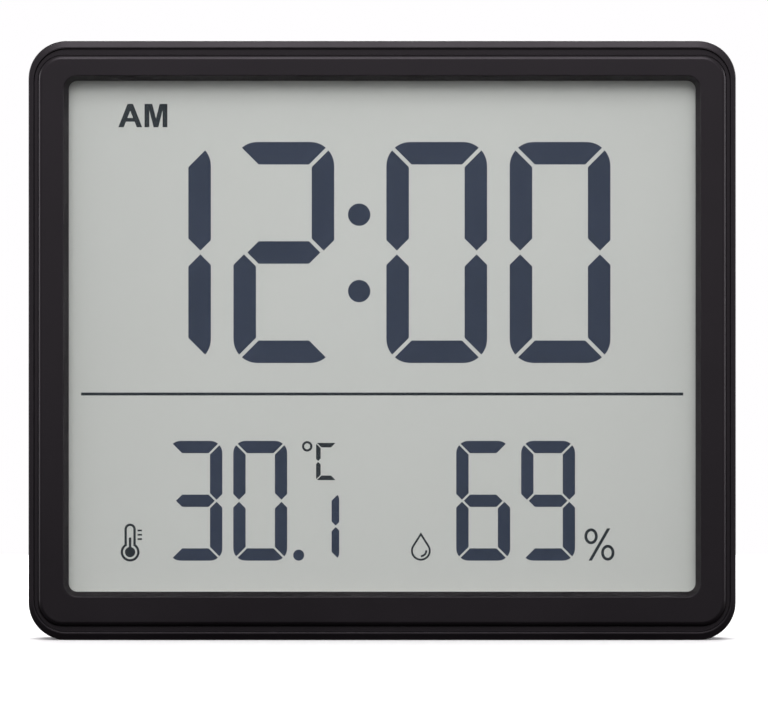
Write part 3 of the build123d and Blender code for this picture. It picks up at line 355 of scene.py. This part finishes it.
# Main board: an L-shaped sheet of glass-filled epoxy under green solder mask, with its copper
# tracks, tinned holes and tan cut edges. Screws hold it to the carrier's posts.

track_step = 0.04 * MM


def solder_masked_board():
    """Green mask over copper tracks, bare tinned spots, and the tan edge of the sheet."""
    finish, tree, shader = new_finish("solder_mask", roughness=0.32, coat=0.4)
    where = add_node(tree, "ShaderNodeTexCoord").outputs["Object"]
    turned = add_node(tree, "ShaderNodeMapping",
                      {"Vector": where, "Rotation": (math.radians(90.0), 0.0, 0.0)})
    tracks = add_node(tree, "ShaderNodeTexBrick",
                      {"Vector": turned.outputs["Vector"], "Scale": 260.0, "Mortar Size": 0.06,
                       "Mortar Smooth": 0.3, "Brick Width": 1.9, "Row Height": 0.32},
                      offset=0.37, squash=0.6, squash_frequency=3)
    holes = add_node(tree, "ShaderNodeTexVoronoi", {"Vector": turned.outputs["Vector"], "Scale": 190.0,
                                                    "Randomness": 0.85}, voronoi_dimensions="2D")
    tinned = brought_to(tree, holes.outputs["Distance"], 0.12, 0.09)
    face = add_node(tree, "ShaderNodeNewGeometry").outputs["Normal"]
    flat = worked_out(tree, "ABSOLUTE", add_node(tree, "ShaderNodeSeparateXYZ", {0: face}).outputs["Y"])
    cut = brought_to(tree, flat, 0.7, 0.5)
    mask = laid_over(tree, tracks.outputs["Fac"], (0.010, 0.070, 0.026, 1.0), (0.030, 0.150, 0.050, 1.0))
    spots = laid_over(tree, tinned, mask, (0.62, 0.61, 0.58, 1.0))
    tree.links.new(laid_over(tree, cut, spots, (0.36, 0.30, 0.16, 1.0)), shader["Base Color"])
    bare = worked_out(tree, "MULTIPLY", tinned, worked_out(tree, "SUBTRACT", 1.0, cut), clamp=True)
    tree.links.new(bare, shader["Metallic"])
    grain_bump(tree, shader, tracks.outputs["Fac"], 0.5, track_step)
    return finish


dress("main_board", solder_masked_board())


# On the board: the clock chip under its blob of black epoxy, the can of the clock crystal and a row
# of ceramic chips with tinned ends, all soldered before the board is screwed down.

plating_edge = 0.15 * MM
mark_depth = 0.01 * MM


def plated_metal(name, base, roughness, grains, stretch=(1.0, 1.0, 1.0)):
    """Plated or ground metal: fine marks drawn out along the stretch, with dull clouds of handling."""
    finish, tree, shader = new_finish(name, metallic=1.0)
    where = add_node(tree, "ShaderNodeTexCoord").outputs["Object"]
    drawn = add_node(tree, "ShaderNodeMapping", {"Vector": where, "Scale": stretch}).outputs["Vector"]
    lines = add_node(tree, "ShaderNodeTexNoise", {"Vector": drawn, "Scale": grains, "Detail": 3.0})
    marks = lines.outputs["Fac"]
    cloud = place_group(tree, moulded_grain, Clouds=320.0)["Cloud"]
    edge = place_group(tree, rubbed_edge, Reach=plating_edge)["Mask"]
    dull = [*(c * 0.72 for c in base), 1.0]
    bright = [*(min(c * 1.3, 0.95) for c in base), 1.0]
    tint = laid_over(tree, brought_to(tree, cloud, 0.35, 0.7), [*base, 1.0], dull)
    tree.links.new(laid_over(tree, edge, tint, bright), shader["Base Color"])
    gloss = worked_out(tree, "MULTIPLY_ADD", marks, 0.16, roughness - 0.05)
    tree.links.new(gloss, shader["Roughness"])
    grain_bump(tree, shader, marks, 0.2, mark_depth)
    return finish


chip_pitch = 3.2 * MM
chip_length = 1.6 * MM


def tinned_chips():
    """Ceramic bodies in a row, each with its tinned ends."""
    finish, tree, shader = new_finish("chip_ceramic", roughness=0.4)
    row_low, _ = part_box("chip_components")
    where = add_node(tree, "ShaderNodeTexCoord").outputs["Object"]
    along = add_node(tree, "ShaderNodeSeparateXYZ", {0: where}).outputs["X"]
    from_first = worked_out(tree, "SUBTRACT", along, row_low.x + chip_length / 2 - chip_pitch / 2)
    step = worked_out(tree, "FRACT", worked_out(tree, "DIVIDE", from_first, chip_pitch))
    off_middle = worked_out(tree, "ABSOLUTE", worked_out(tree, "SUBTRACT", step, 0.5))
    tin = brought_to(tree, off_middle, 0.15, 0.17)
    grain = place_group(tree, moulded_grain, Grains=6000.0)["Height"]
    clay = laid_over(tree, grain, (0.16, 0.11, 0.07, 1.0), (0.30, 0.23, 0.16, 1.0))
    tree.links.new(laid_over(tree, tin, clay, (0.70, 0.69, 0.66, 1.0)), shader["Base Color"])
    tree.links.new(tin, shader["Metallic"])
    return finish


black_epoxy = cured_epoxy("black_epoxy", (0.008, 0.008, 0.008), (0.020, 0.020, 0.020), 0.22)
tinned_can = plated_metal("tinned_can", (0.70, 0.70, 0.68), 0.30, 1500.0, (0.1, 1.0, 1.0))
dress("controller_blob", black_epoxy)
dress("clock_crystal", tinned_can)
dress("chip_components", tinned_chips())


# Sensors: a white humidity sensor with its hole, and a thermistor bead on two tinned leads. They
# stand on the board behind the air slots of the case.

def sensor_body():
    """White sensor housing, in soft clouds of a greyer white."""
    finish, tree, shader = new_finish("sensor_body", roughness=0.45)
    grain = place_group(tree, moulded_grain, Grains=5000.0, Clouds=180.0)
    tree.links.new(laid_over(tree, grain["Cloud"], (0.78, 0.78, 0.75, 1.0), (0.68, 0.67, 0.63, 1.0)),
                   shader["Base Color"])
    grain_bump(tree, shader, grain["Height"], 0.3, coarse_grain_depth)
    return finish


bead_long = 2.2 * MM
bead_ripple = 0.05 * MM
tinning_end = 0.05 * MM


def bead_on_leads():
    """Black bead at the far end of bare tinned leads."""
    finish, tree, shader = new_finish("thermistor", roughness=0.3, coat=0.2)
    low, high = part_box("temperature_sensor")
    bead_foot = high.y - bead_long
    where = add_node(tree, "ShaderNodeTexCoord").outputs["Object"]
    out = add_node(tree, "ShaderNodeSeparateXYZ", {0: where}).outputs["Y"]
    lead = brought_to(tree, out, bead_foot + tinning_end, bead_foot)
    grain = place_group(tree, moulded_grain, Grains=1800.0, Clouds=500.0)
    bead = laid_over(tree, grain["Cloud"], (0.012, 0.012, 0.012, 1.0), (0.030, 0.030, 0.030, 1.0))
    tree.links.new(laid_over(tree, lead, bead, (0.72, 0.71, 0.68, 1.0)), shader["Base Color"])
    tree.links.new(lead, shader["Metallic"])
    grain_bump(tree, shader, grain["Cloud"], 0.3, bead_ripple)
    return finish


dress("humidity_sensor", sensor_body())
dress("temperature_sensor", bead_on_leads())


# Push buttons: four satin dark grey caps in the sunk panel of the back. Each moves a stem onto a
# plunger of acetal, which presses the tact switch on the board.

plate_thickness = 0.6 * MM
plate_seam = 0.05 * MM
fine_grain_depth = 0.02 * MM


def tact_switch():
    """Black body of the switch under its plate of plated steel."""
    finish, tree, shader = new_finish("tact_switch", roughness=0.4)
    low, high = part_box("tact_switches")
    where = add_node(tree, "ShaderNodeTexCoord").outputs["Object"]
    out = add_node(tree, "ShaderNodeSeparateXYZ", {0: where}).outputs["Y"]
    plate_y = high.y - plate_thickness
    plate = brought_to(tree, out, plate_y, plate_y + plate_seam)
    grain = place_group(tree, moulded_grain, Grains=3500.0, Clouds=300.0)
    body = laid_over(tree, grain["Cloud"], (0.018, 0.018, 0.018, 1.0), (0.035, 0.035, 0.035, 1.0))
    tree.links.new(laid_over(tree, plate, body, (0.66, 0.65, 0.62, 1.0)), shader["Base Color"])
    tree.links.new(plate, shader["Metallic"])
    grain_bump(tree, shader, grain["Height"], 0.2, fine_grain_depth)
    return finish


dress("tact_switches", tact_switch())
button_abs = moulded_abs("button_abs", (0.045, 0.045, 0.048), (0.11, 0.11, 0.112), 0.38, 5200.0,
                         fine_grain_depth, 0.1)
acetal = moulded_abs("acetal", (0.55, 0.55, 0.52), (0.62, 0.62, 0.60), 0.35, 2500.0, fine_grain_depth, 0.0)
BUTTONS = ("down", "up", "set", "mode")
for button in BUTTONS:
    dress(f"{button}_button", button_abs)
    dress(f"{button}_plunger", acetal)


# Button legends: plain words that stand 0.15 mm proud of the sunk panel, each under its button.
# They are cut into the mould, so they are the case's own black ABS, rubbed paler on their faces.

legend_grain_depth = 0.01 * MM


def raised_word(name, word, place, tall, proud):
    """A word moulded on a face that looks backwards: its letters stand proud of the place."""
    bpy.ops.object.select_all(action="DESELECT")
    bpy.ops.object.text_add(location=place, rotation=(math.radians(90.0), 0.0, math.radians(180.0)))
    letters = bpy.context.active_object
    letters.name = name
    letters.data.body = word
    letters.data.size = tall
    letters.data.align_x, letters.data.align_y = "CENTER", "CENTER"
    letters.data.extrude = proud
    letters.data.space_character = 1.1
    letters.data.resolution_u = 4
    bpy.ops.object.convert(target="MESH")
    bpy.ops.object.transform_apply(location=True, rotation=True, scale=True)
    letters.data.materials.append(legend_abs)
    return letters


legend_abs = moulded_abs("legend_abs", (0.05, 0.049, 0.05), (0.09, 0.09, 0.09), 0.34, 5200.0,
                         legend_grain_depth, 0.0)
legend_tall = 2.4 * MM
legend_proud = 0.15 * MM
legend_gap = 0.75 * MM
panel_depth = 0.8 * MM
for button in BUTTONS:
    cap_low, cap_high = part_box(f"{button}_button")
    cap_x = (cap_low.x + cap_high.x) / 2
    under_cap = Vector((cap_x, cad_high.y - panel_depth, cap_low.z - legend_gap))
    legend = raised_word(f"{button}_legend", button.upper(), under_cap, legend_tall, legend_proud)
    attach(legend, "case")


# Cells: two AAA cells side by side, head to tail. Each is a nickel-plated steel can with a printed
# sleeve shrunk round it, whose ends roll over the can's shoulders.

can_radius = 4.98 * MM
can_edge_round = 0.12 * MM
dish_inset = 1.5 * MM
dish_depth = 0.2 * MM
collar_inset = 0.9 * MM
collar_depth = 0.35 * MM
collar_slope = 0.1 * MM
nub_tall = 0.9 * MM
nub_inset = 1.9 * MM
nub_slope = 0.18 * MM
sleeve_wall = 0.09 * MM
sleeve_lip = 1.0 * MM
sleeve_edge_round = 0.45 * MM
sleeve_foot_gap = 0.04 * MM


def pick_faces(shape, test):
    """Selects, in edit mode, the faces that pass a test of their middle and normal."""
    bpy.ops.mesh.select_mode(type="FACE")
    bpy.ops.mesh.select_all(action="DESELECT")
    for face in shape.faces:
        face.select_set(test(face.calc_center_median(), face.normal))


def bevel_all(piece, width, segments, angle):
    """Rounds the edges that turn by more than the angle, and lets the curves shade smooth."""
    bevel = piece.modifiers.new("bevel", "BEVEL")
    bevel.width, bevel.segments, bevel.angle_limit = width, segments, math.radians(angle)
    bpy.ops.object.modifier_apply(modifier=bevel.name)
    bpy.ops.object.shade_smooth_by_angle(angle=math.radians(35.0))


def steel_can(name, axis, foot_z, shoulder_z, tip_z):
    """Can with a dished negative end at its foot and the positive nub at its tip."""
    body = abs(shoulder_z - foot_z)
    up = 1.0 if tip_z > foot_z else -1.0
    bpy.ops.object.select_all(action="DESELECT")
    bpy.ops.mesh.primitive_cylinder_add(vertices=64, radius=can_radius, depth=body,
                                        location=(axis.x, axis.y, (foot_z + shoulder_z) / 2))
    can = bpy.context.active_object
    can.name = name
    bpy.ops.object.transform_apply(location=True, rotation=True, scale=True)
    bpy.ops.object.mode_set(mode="EDIT")
    shape = bmesh.from_edit_mesh(can.data)
    pick_faces(shape, lambda middle, normal: normal.z * up < -0.9)
    bpy.ops.mesh.inset(thickness=dish_inset, depth=0.0)
    bpy.ops.mesh.inset(thickness=dish_depth, depth=-dish_depth)
    pick_faces(shape, lambda middle, normal: normal.z * up > 0.9)
    bpy.ops.mesh.inset(thickness=collar_inset, depth=0.0)
    bpy.ops.mesh.inset(thickness=collar_slope, depth=-collar_depth)
    bpy.ops.mesh.inset(thickness=nub_inset, depth=0.0)
    bpy.ops.mesh.inset(thickness=nub_slope, depth=abs(tip_z - shoulder_z) + collar_depth)
    bpy.ops.object.mode_set(mode="OBJECT")
    bevel_all(can, can_edge_round, 3, 40.0)
    can.data.materials.append(can_nickel)
    return can


def shrunk_sleeve(name, axis, foot_z, shoulder_z, radius, finish):
    """Sleeve whose ends roll over the shoulders of the can."""
    bpy.ops.object.select_all(action="DESELECT")
    bpy.ops.mesh.primitive_cylinder_add(vertices=96, radius=radius, depth=abs(shoulder_z - foot_z),
                                        location=(axis.x, axis.y, (foot_z + shoulder_z) / 2))
    sleeve = bpy.context.active_object
    sleeve.name = name
    bpy.ops.object.transform_apply(location=True, rotation=True, scale=True)
    bpy.ops.object.mode_set(mode="EDIT")
    shape = bmesh.from_edit_mesh(sleeve.data)
    pick_faces(shape, lambda middle, normal: abs(normal.z) > 0.9)
    bpy.ops.mesh.inset(thickness=sleeve_lip, depth=0.0, use_individual=True)
    bpy.ops.mesh.delete(type="FACE")
    bpy.ops.object.mode_set(mode="OBJECT")
    bevel_all(sleeve, sleeve_edge_round, 5, 60.0)
    wall = sleeve.modifiers.new("wall", "SOLIDIFY")
    wall.thickness, wall.offset = sleeve_wall, -1.0
    bpy.ops.object.modifier_apply(modifier=wall.name)
    bpy.ops.object.shade_smooth_by_angle(angle=math.radians(35.0))
    sleeve.data.materials.append(finish)
    return sleeve


print_edge = 0.03 * MM
print_ripple = 0.12 * MM
print_arm = 1.5 * MM
print_stroke = 0.28 * MM
print_plus_z = 35.5 * MM
print_minus_z = 5.0 * MM
band_z = 40.0 * MM
band_half = 1.4 * MM
low_ring_z = 9.0 * MM
high_ring_z = 31.0 * MM
ring_half = 0.2 * MM


def printed_sleeve(name, axis, foot_z, up):
    """Slate sleeve with a pale ring and a plus by its positive end, and a minus by its foot."""
    finish, tree, shader = new_finish(name, roughness=0.26, coat=0.35)
    where = add_node(tree, "ShaderNodeTexCoord").outputs["Object"]
    centred = add_node(tree, "ShaderNodeMapping",
                       {"Vector": where, "Location": (-axis.x, -axis.y, -foot_z)}).outputs["Vector"]
    place = add_node(tree, "ShaderNodeSeparateXYZ", {0: centred}).outputs
    high = worked_out(tree, "MULTIPLY", place["Z"], up)
    across = place["X"]

    def stripe(value, middle, half):
        off = worked_out(tree, "ABSOLUTE", worked_out(tree, "SUBTRACT", value, middle))
        return brought_to(tree, off, half + print_edge, half - print_edge)

    def either(*masks):
        joined = masks[0]
        for mask in masks[1:]:
            joined = worked_out(tree, "MAXIMUM", joined, mask)
        return joined

    def both(*masks):
        joined = masks[0]
        for mask in masks[1:]:
            joined = worked_out(tree, "MULTIPLY", joined, mask)
        return joined

    outward = brought_to(tree, place["Y"], 0.0, 2 * print_edge)
    plus = either(both(stripe(across, 0.0, print_arm), stripe(high, print_plus_z, print_stroke)),
                  both(stripe(across, 0.0, print_stroke), stripe(high, print_plus_z, print_arm)))
    minus = both(stripe(across, 0.0, print_arm), stripe(high, print_minus_z, print_stroke))
    rings = either(stripe(high, band_z, band_half), stripe(high, low_ring_z, ring_half),
                   stripe(high, high_ring_z, ring_half))
    print_mask = either(rings, both(outward, either(plus, minus)))
    grain = place_group(tree, moulded_grain, Grains=2500.0, Clouds=120.0)
    slate = laid_over(tree, grain["Cloud"], (0.035, 0.045, 0.060, 1.0), (0.050, 0.062, 0.080, 1.0))
    tree.links.new(laid_over(tree, print_mask, slate, (0.60, 0.62, 0.62, 1.0)), shader["Base Color"])
    grain_bump(tree, shader, grain["Cloud"], 0.3, print_ripple)
    return finish


can_nickel = plated_metal("can_nickel", (0.72, 0.70, 0.65), 0.25, 1800.0)
for side, up in (("left", 1.0), ("right", -1.0)):
    low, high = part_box(f"cell_{side}")
    axis = (low + high) / 2
    foot_z, tip_z = (low.z, high.z) if up > 0 else (high.z, low.z)
    shoulder_z = tip_z - up * nub_tall
    can = steel_can(f"cell_can_{side}", axis, foot_z, shoulder_z, tip_z)
    wrap = printed_sleeve(f"sleeve_print_{side}", axis, foot_z, up)
    sleeve = shrunk_sleeve(f"cell_sleeve_{side}", axis, foot_z + up * sleeve_foot_gap, shoulder_z,
                           (high.x - low.x) / 2, wrap)
    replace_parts(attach(can, "case"), f"cell_{side}")
    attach(sleeve, "case")


# Contacts: stamped strips and wound springs of nickel-plated spring steel. The strips stand in the
# walls of the bay, and two of them reach the board.

spring_nickel = plated_metal("spring_nickel", (0.74, 0.72, 0.67), 0.24, 2200.0, (1.0, 1.0, 0.2))
for contact in ("negative_contact", "positive_contact", "link_contact", "negative_spring", "link_spring"):
    dress(contact, spring_nickel)


# Battery door: a flat cover in the case's black ABS. Two tabs hook it at its top, and five grooves
# and the scoop below it give the thumb a hold.

dress("battery_door", case_abs)


# Cell guides: the outlines of the two cells with their plus and minus, moulded 0.15 mm proud inside
# the door. They show when the door is lifted, and they lift with it.

door_wall = 1.6 * MM
guide_inset = 0.8 * MM
guide_rise = 9.0 * MM
guide_tall = 36.0 * MM
guide_line = 0.45 * MM
guide_corner = 1.2 * MM
sign_tall = 6.0 * MM
sign_inset = 5.0 * MM


def guide_outline(name, low_x, high_x, low_z, high_z, inner_y):
    """Thin raised outline of a cell on the inside of the door."""
    bpy.ops.object.select_all(action="DESELECT")
    bpy.ops.mesh.primitive_plane_add(size=1.0, rotation=(math.radians(90.0), 0.0, 0.0),
                                     location=((low_x + high_x) / 2, inner_y, (low_z + high_z) / 2))
    outline = bpy.context.active_object
    outline.name = name
    outline.scale = (high_x - low_x, high_z - low_z, 1.0)
    bpy.ops.object.transform_apply(location=True, rotation=True, scale=True)
    bpy.ops.object.mode_set(mode="EDIT")
    shape = bmesh.from_edit_mesh(outline.data)
    bpy.ops.mesh.select_all(action="SELECT")
    bpy.ops.mesh.bevel(offset=guide_corner, segments=5, affect="VERTICES")
    bpy.ops.mesh.select_all(action="SELECT")
    bpy.ops.mesh.inset(thickness=guide_line, depth=0.0)
    bpy.ops.mesh.delete(type="FACE")
    bpy.ops.mesh.select_all(action="SELECT")
    bpy.ops.mesh.extrude_region_move(TRANSFORM_OT_translate={"value": (0.0, -legend_proud, 0.0)})
    bpy.ops.mesh.select_all(action="SELECT")
    bpy.ops.mesh.normals_make_consistent(inside=False)
    bpy.ops.object.mode_set(mode="OBJECT")
    outline.data.materials.append(legend_abs)
    return outline


def inner_sign(name, sign, x, inner_y, z):
    """Raised sign on the inside of the door, which looks forwards."""
    letters = raised_word(name, sign, (-x, -inner_y, z), sign_tall, legend_proud)
    bpy.ops.object.mode_set(mode="EDIT")
    bpy.ops.mesh.select_all(action="SELECT")
    bpy.ops.transform.rotate(value=math.pi, orient_axis="Z", center_override=(0.0, 0.0, 0.0))
    bpy.ops.object.mode_set(mode="OBJECT")
    return letters


door_low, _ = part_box("battery_door")
door_inner_y = cad_high.y - door_wall
guide_low_z = door_low.z + guide_rise
guide_high_z = guide_low_z + guide_tall
for side in ("left", "right"):
    low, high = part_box(f"cell_{side}")
    guide = guide_outline(f"cell_guide_{side}", low.x + guide_inset, high.x - guide_inset, guide_low_z,
                          guide_high_z, door_inner_y)
    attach(guide, "door")
    middle_x = (low.x + high.x) / 2
    upper, lower = ("+", "-") if side == "left" else ("-", "+")
    signs = (("top", upper, guide_high_z - sign_inset), ("foot", lower, guide_low_z + sign_inset))
    for end, sign, sign_z in signs:
        mark = inner_sign(f"cell_sign_{side}_{end}", sign, middle_x, door_inner_y, sign_z)
        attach(mark, "door")


# Stand: a leg in black ABS that folds into the back. A ground steel pin runs through its knuckles
# and is pressed into the walls of its recess.

leg_abs = moulded_abs("leg_abs", CASE_BLACK, RUBBED_BLACK, 0.35, 4200.0, fine_grain_depth, 0.05,
                      0.28, PLUM_GLEAM)
dress("stand_leg", leg_abs)
ground_steel = plated_metal("ground_steel", (0.58, 0.58, 0.57), 0.22, 1600.0, (6.0, 1.0, 1.0))
dress("stand_pin", ground_steel)


# Screws: pan heads with a cross recess, zinc-plated and dark. Four close the case from the back,
# and six hold the board.

screw_zinc = plated_metal("dark_zinc", (0.33, 0.33, 0.35), 0.34, 2600.0)
for screws in ("case_screws", "board_screws"):
    dress(screws, screw_zinc)


# Studio: a plain pale floor under a white sky. Soft boxes stand in front, above, at both sides and
# behind, all at one distance from the clock's middle. The camera sees the floor and the sky whiter
# than the clock does, which keeps the black case deep.

floor_size = 1.1
bpy.ops.object.select_all(action="DESELECT")
bpy.ops.mesh.primitive_plane_add(size=floor_size)
floor = bpy.context.active_object
floor.name = "studio_floor"
paper, paper_tree, paper_shader = new_finish("pale_paper", roughness=0.9, specular=0.0)
seen = add_node(paper_tree, "ShaderNodeLightPath").outputs["Is Camera Ray"]
paper_tree.links.new(laid_over(paper_tree, seen, (0.03, 0.03, 0.03, 1.0), (0.92, 0.915, 0.92, 1.0)),
                     paper_shader["Base Color"])
floor.data.materials.append(paper)
floor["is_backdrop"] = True


middle = (cad_low + cad_high) / 2
box_distance = 2.2


def soft_box(name, turn, rise, width, height, power):
    """A soft box that faces the clock, turned to its right and raised by so many degrees."""
    data = bpy.data.lights.new(name, "AREA")
    data.shape = "RECTANGLE"
    data.size, data.size_y, data.energy = width, height, power
    lamp = bpy.data.objects.new(name, data)
    bpy.context.scene.collection.objects.link(lamp)
    away = Euler((-math.radians(rise), 0.0, math.radians(turn))).to_matrix() @ Vector((0.0, -1.0, 0.0))
    lamp.location = middle + away * box_distance
    lamp.rotation_euler = (-away).to_track_quat("-Z", "Y").to_euler()
    lamp.visible_camera = False


soft_box("front_strip", 0.0, 28.0, 0.5, 0.8, 10.0)
soft_box("high_box", 0.0, 45.0, 1.4, 0.9, 14.5)
soft_box("left_box", -95.0, 5.0, 1.6, 1.4, 32.0)
soft_box("right_box", 95.0, 5.0, 1.6, 1.4, 32.0)
soft_box("back_box", 180.0, 36.4, 1.6, 0.9, 55.0)

sky = bpy.data.worlds.new("studio_sky")
sky.use_nodes = True
bpy.context.scene.world = sky
seen = add_node(sky.node_tree, "ShaderNodeLightPath").outputs["Is Camera Ray"]
glow = laid_over(sky.node_tree, seen, (0.82, 0.80, 0.82, 1.0), (1.0, 0.99, 1.0, 1.0))
sky.node_tree.links.new(glow, sky.node_tree.nodes["Background"].inputs["Color"])


# Camera: straight on, with a long lens. The case is 706.99 of the picture's 768 pixels wide, and its
# middle is at (382.17, 340.51).

PHOTO_WIDTH, PHOTO_HEIGHT = 768, 714
CASE_PIXELS = 706.99
CASE_MIDDLE = (382.17, 340.51)
camera_distance = 1.3
camera_reach = 50.0
outline_setback = 1.5 * MM
outline_y = cad_low.y + outline_setback
pixel = (cad_high.x - cad_low.x) / CASE_PIXELS
lens = bpy.data.cameras.new("long_lens")
lens.lens = lens.sensor_width * camera_distance / (PHOTO_WIDTH * pixel)
lens.clip_end = camera_reach
camera = bpy.data.objects.new("camera", lens)
bpy.context.scene.collection.objects.link(camera)
camera.location = (
    (PHOTO_WIDTH / 2 - CASE_MIDDLE[0]) * pixel,
    outline_y - camera_distance,
    (cad_low.z + cad_high.z) / 2 - (PHOTO_HEIGHT / 2 - CASE_MIDDLE[1]) * pixel,
)
camera.rotation_euler = Euler((math.radians(90.0), 0.0, 0.0))
bpy.context.scene.camera = camera
bpy.context.scene.view_settings.view_transform = "Standard"
bpy.context.scene.cycles.transparent_max_bounces = 24

low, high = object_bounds()
